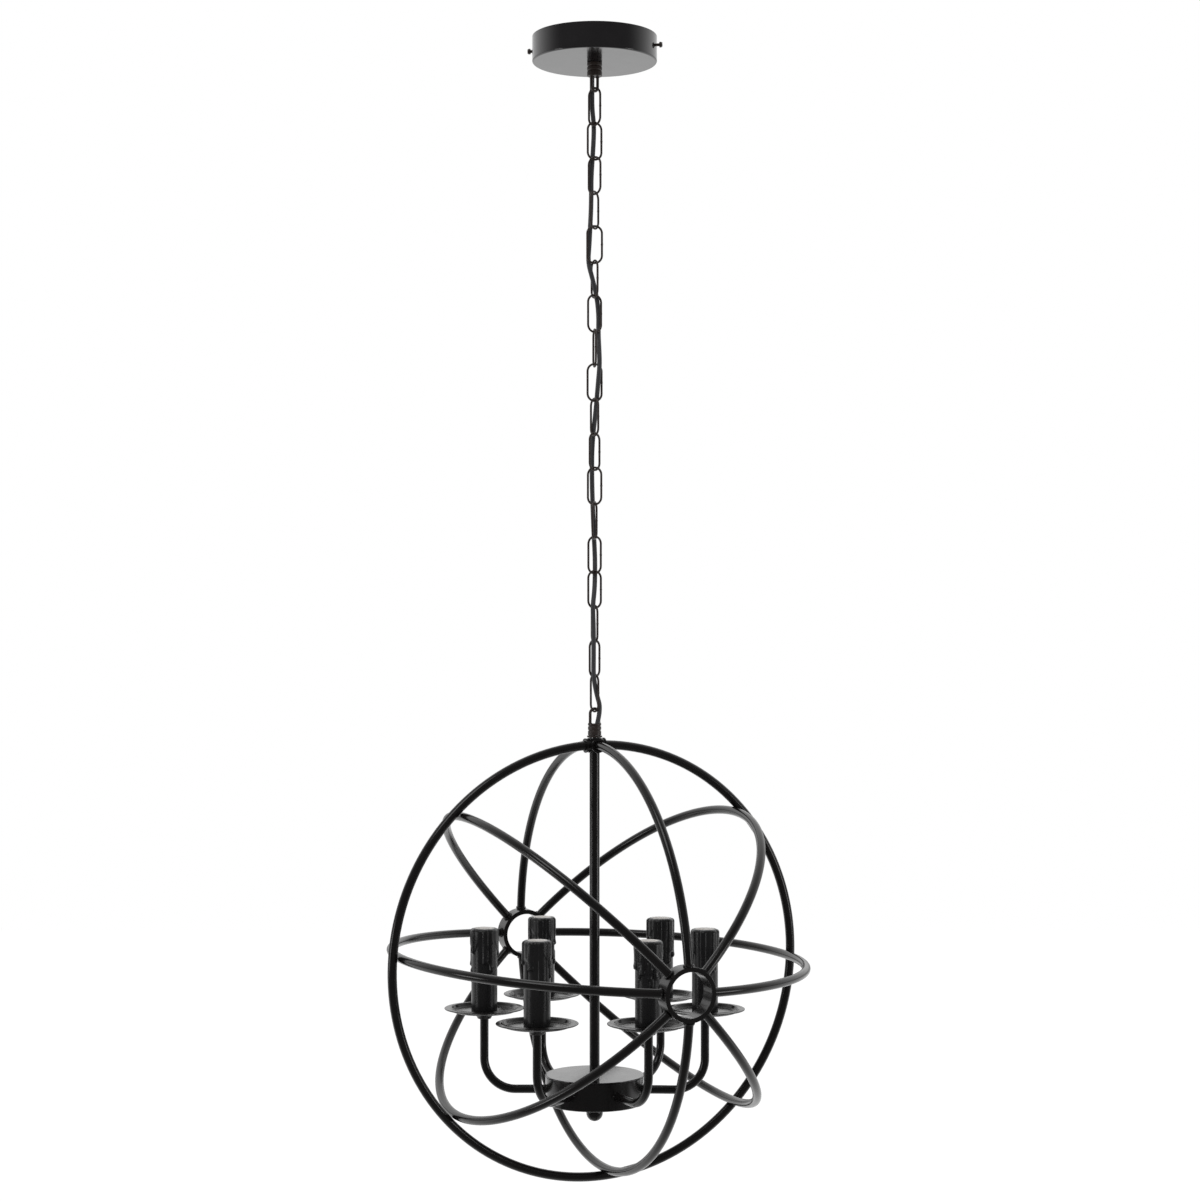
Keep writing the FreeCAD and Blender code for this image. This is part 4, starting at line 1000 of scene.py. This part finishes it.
def wax(angle, height, runs, phase):
    """How far the wax stands out at that angle and height: a film and the runs over it."""
    waves = math.sin(2 * angle + phase), math.sin(5 * angle + 2 * phase)
    edge = FILM_EDGE + FILM_WAVE * waves[0] + FILM_WAVE * waves[1]
    film = FILM_THICK * smooth_step((height - edge) / 2.6)
    best = 0.0
    for middle, width, high, low, thick in runs:
        off = abs((angle - middle + math.pi) % math.tau - math.pi) / width
        if off < 1:
            foot = 1 + FOOT_SWELL * math.exp(-(((height - low - FOOT_REACH) / FOOT_REACH) ** 2))
            ends = smooth_step((height - low) / 1.8) * smooth_step((high - height) / 3.0)
            best = max(best, thick * foot * (1 - off**4) ** 0.6 * ends)
    return film + best * (1 - 0.35 * film)


def candle(seed):
    """One sleeve with its wax, and the pale core as the second material."""
    rings = [(SLEEVE_BORE, SLEEVE_TOP - 5.0), (SLEEVE_BORE, SLEEVE_BASE)]
    height = SLEEVE_BASE
    while height < SLEEVE_TOP - SHOULDER:
        rings.append((SLEEVE_RADIUS, height))
        height += WAX_STEP if height > PLAIN_FOOT else FOOT_STEP
    rings += corner(SHOULDER, SLEEVE_RADIUS - SHOULDER, SLEEVE_TOP - SHOULDER, 0, 90, 7)
    rings += [(SLEEVE_MOUTH, SLEEVE_TOP - 0.1), (SLEEVE_MOUTH - 0.25, SLEEVE_TOP - 0.4)]
    rings += [(SLEEVE_MOUTH - 1.1, SLEEVE_TOP - 2.8), (SLEEVE_MOUTH - 1.1, SLEEVE_TOP - 4.2)]
    bm = lathe(rings, SLEEVE_STEPS)
    runs = drips(seed)
    for vert in bm.verts:
        radius, height = vert.co.xy.length / MM, vert.co.z / MM
        on_shoulder = height > SLEEVE_TOP - SHOULDER and radius > SLEEVE_MOUTH + 0.1
        if radius > SLEEVE_BORE + 0.3 or on_shoulder:
            out = wax(math.atan2(vert.co.y, vert.co.x), height - SLEEVE_BASE, runs, seed)
            fade = smooth_step((radius - SLEEVE_MOUTH + 0.6) / 2.6)
            vert.co.xy *= (radius + out * fade) / radius
    for face in bm.faces:
        middle = face.calc_center_median()
        inwards = face.normal.dot(Vector((*middle.xy, 0))) < -1e-5
        if inwards or middle.xy.length / MM < SLEEVE_MOUTH - 0.1:
            face.material_index = 1
    return bm


for number in range(1, len(ARM_TURNS) + 1):
    place = shift(up=PAN_LEVEL) @ candle_spot(number - 1)
    finish(
        "candle_wax_%d" % number,
        moved(candle(number), place),
        "sleeve_%d" % number,
        ["candle_%d" % number],
        [WAX_BLACK, SLEEVE_CORE],
    )
print("six candles")

# %% [markdown]
# ## Light and room
# The room is a plain studio with a white wall behind the object and a dark one where the
# camera stands, as in the picture: the tubes' middles stay black while their edges and the
# flat lids mirror white.  Camera and see-through rays meet white everywhere, glossy rays
# meet the two walls, dimmer where they are level, and other rays get a calm grey.

# %% Light and room
ROOM_WHITE, ROOM_LIGHT, FRONT_WALL, LEVEL_SHARE = 1.0, 0.7, 0.09, 0.4
WALL_FADE, LEVEL_BAND = (-0.5, 0.8), (0.0, 0.17)


def node_of(tree, kind, **settings):
    made = tree.nodes.new(kind)
    for name, value in settings.items():
        setattr(made, name, value)
    return made


def soft_range(tree, value, ends, start, stop):
    """A value that goes softly from start to stop while the source passes the ends."""
    span = node_of(tree, "ShaderNodeMapRange", interpolation_type="SMOOTHSTEP")
    span.inputs["From Min"].default_value, span.inputs["From Max"].default_value = ends
    span.inputs["To Min"].default_value = start
    span.inputs["To Max"].default_value = stop
    tree.links.new(value, span.inputs["Value"])
    return span.outputs["Result"]


def worked_out(tree, operation, *sources):
    """A value worked out from one or two other ones."""
    step = node_of(tree, "ShaderNodeMath", operation=operation)
    for source, socket in zip(sources, step.inputs):
        tree.links.new(source, socket)
    return step.outputs[0]


def mixed(tree, factor):
    """A mix of two values by a factor."""
    mix = node_of(tree, "ShaderNodeMix")
    tree.links.new(factor, mix.inputs["Factor"])
    return mix


def direction_parts(tree, output):
    """The three parts of a texture coordinate."""
    place = node_of(tree, "ShaderNodeTexCoord")
    split = node_of(tree, "ShaderNodeSeparateXYZ")
    tree.links.new(place.outputs[output], split.inputs["Vector"])
    return split.outputs


def rays(tree):
    """Whether a ray is seen straight or through the object, and whether it is a reflection."""
    path = node_of(tree, "ShaderNodeLightPath").outputs
    seen = worked_out(tree, "MAXIMUM", path["Is Camera Ray"], path["Is Transmission Ray"])
    return seen, path["Is Glossy Ray"]


world = bpy.data.worlds.new("studio_walls")
bpy.context.scene.world = world
world.use_nodes = True
walls = world.node_tree
seen, mirrored = rays(walls)
direction = direction_parts(walls, "Generated")
fade = soft_range(walls, direction["Y"], WALL_FADE, FRONT_WALL, ROOM_WHITE)
steep = worked_out(walls, "ABSOLUTE", direction["Z"])
band = soft_range(walls, steep, LEVEL_BAND, LEVEL_SHARE, 1.0)
plain = mixed(walls, seen)
plain.inputs["A"].default_value = ROOM_LIGHT
plain.inputs["B"].default_value = ROOM_WHITE
strength = mixed(walls, mirrored)
walls.links.new(plain.outputs["Result"], strength.inputs["A"])
walls.links.new(worked_out(walls, "MULTIPLY", fade, band), strength.inputs["B"])
background = walls.nodes["Background"]
background.inputs["Color"].default_value = (1, 1, 1, 1)
walls.links.new(strength.outputs["Result"], background.inputs["Strength"])
print("walls ready")

# %% [markdown]
# The floor lies well under the lamp.  It is matt, so it keeps the object's shadow, with a
# little light of its own for the camera that brings it up to the background's white.  In
# reflections it fades from dark in front to white behind, as the walls do.

# %% Floor
FLOOR_LEVEL, FLOOR_HALF, FLOOR_WHITE, FLOOR_GLOW, FLOOR_FADE = -2.6, 14, 0.86, 0.43, (-1.6, 1.6)


def floor_paint():
    paint = bpy.data.materials.new("floor_white")
    paint.use_nodes = True
    tree = paint.node_tree
    seen, mirrored = rays(tree)
    matt = node_of(tree, "ShaderNodeBsdfDiffuse")
    matt.inputs["Color"].default_value = (FLOOR_WHITE, FLOOR_WHITE, FLOOR_WHITE, 1)
    share = node_of(tree, "ShaderNodeMath", operation="MULTIPLY")
    share.inputs[1].default_value = FLOOR_GLOW
    tree.links.new(seen, share.inputs[0])
    glow = node_of(tree, "ShaderNodeEmission")
    tree.links.new(share.outputs[0], glow.inputs["Strength"])
    lit = node_of(tree, "ShaderNodeAddShader")
    tree.links.new(matt.outputs["BSDF"], lit.inputs[0])
    tree.links.new(glow.outputs["Emission"], lit.inputs[1])
    depth = direction_parts(tree, "Object")["Y"]
    mirror = node_of(tree, "ShaderNodeEmission")
    fade = soft_range(tree, depth, FLOOR_FADE, FRONT_WALL, ROOM_WHITE)
    tree.links.new(fade, mirror.inputs["Strength"])
    choice = node_of(tree, "ShaderNodeMixShader")
    tree.links.new(mirrored, choice.inputs[0])
    tree.links.new(lit.outputs["Shader"], choice.inputs[1])
    tree.links.new(mirror.outputs["Emission"], choice.inputs[2])
    tree.links.new(choice.outputs["Shader"], tree.nodes["Material Output"].inputs["Surface"])
    return paint


floor_mesh = bmesh.new()
bmesh.ops.create_grid(floor_mesh, x_segments=1, y_segments=1, size=FLOOR_HALF)
bmesh.ops.translate(floor_mesh, vec=(0, 0, FLOOR_LEVEL), verts=floor_mesh.verts)
floor = finish("studio_floor", floor_mesh, None, finishes=[floor_paint()])
print("floor ready")

# %% [markdown]
# A large lamp from above and a small one at each side shape the object.

# %% Lamps
LAMPS = (
    # name, place and aim in metres, power in watts, width in metres
    ("key_lamp", (-1.2, -1.6, 1.9), (0, 0, -0.7), 18, 1.6),
    ("left_lamp", (-2.4, -0.9, -0.85), (0, 0, -0.85), 5, 0.7),
    ("right_lamp", (2.4, -0.9, -0.85), (0, 0, -0.85), 5, 0.7),
)
for name, place, aim, power, width in LAMPS:
    lamp = bpy.data.lights.new(name, "AREA")
    lamp.energy = power
    lamp.size = width
    holder = bpy.data.objects.new(name, lamp)
    holder.location = place
    holder.rotation_euler = (Vector(aim) - Vector(place)).to_track_quat("-Z", "Y").to_euler()
    bpy.context.scene.collection.objects.link(holder)
bpy.context.scene.view_settings.view_transform = "Standard"
print(len(LAMPS), "lamps")
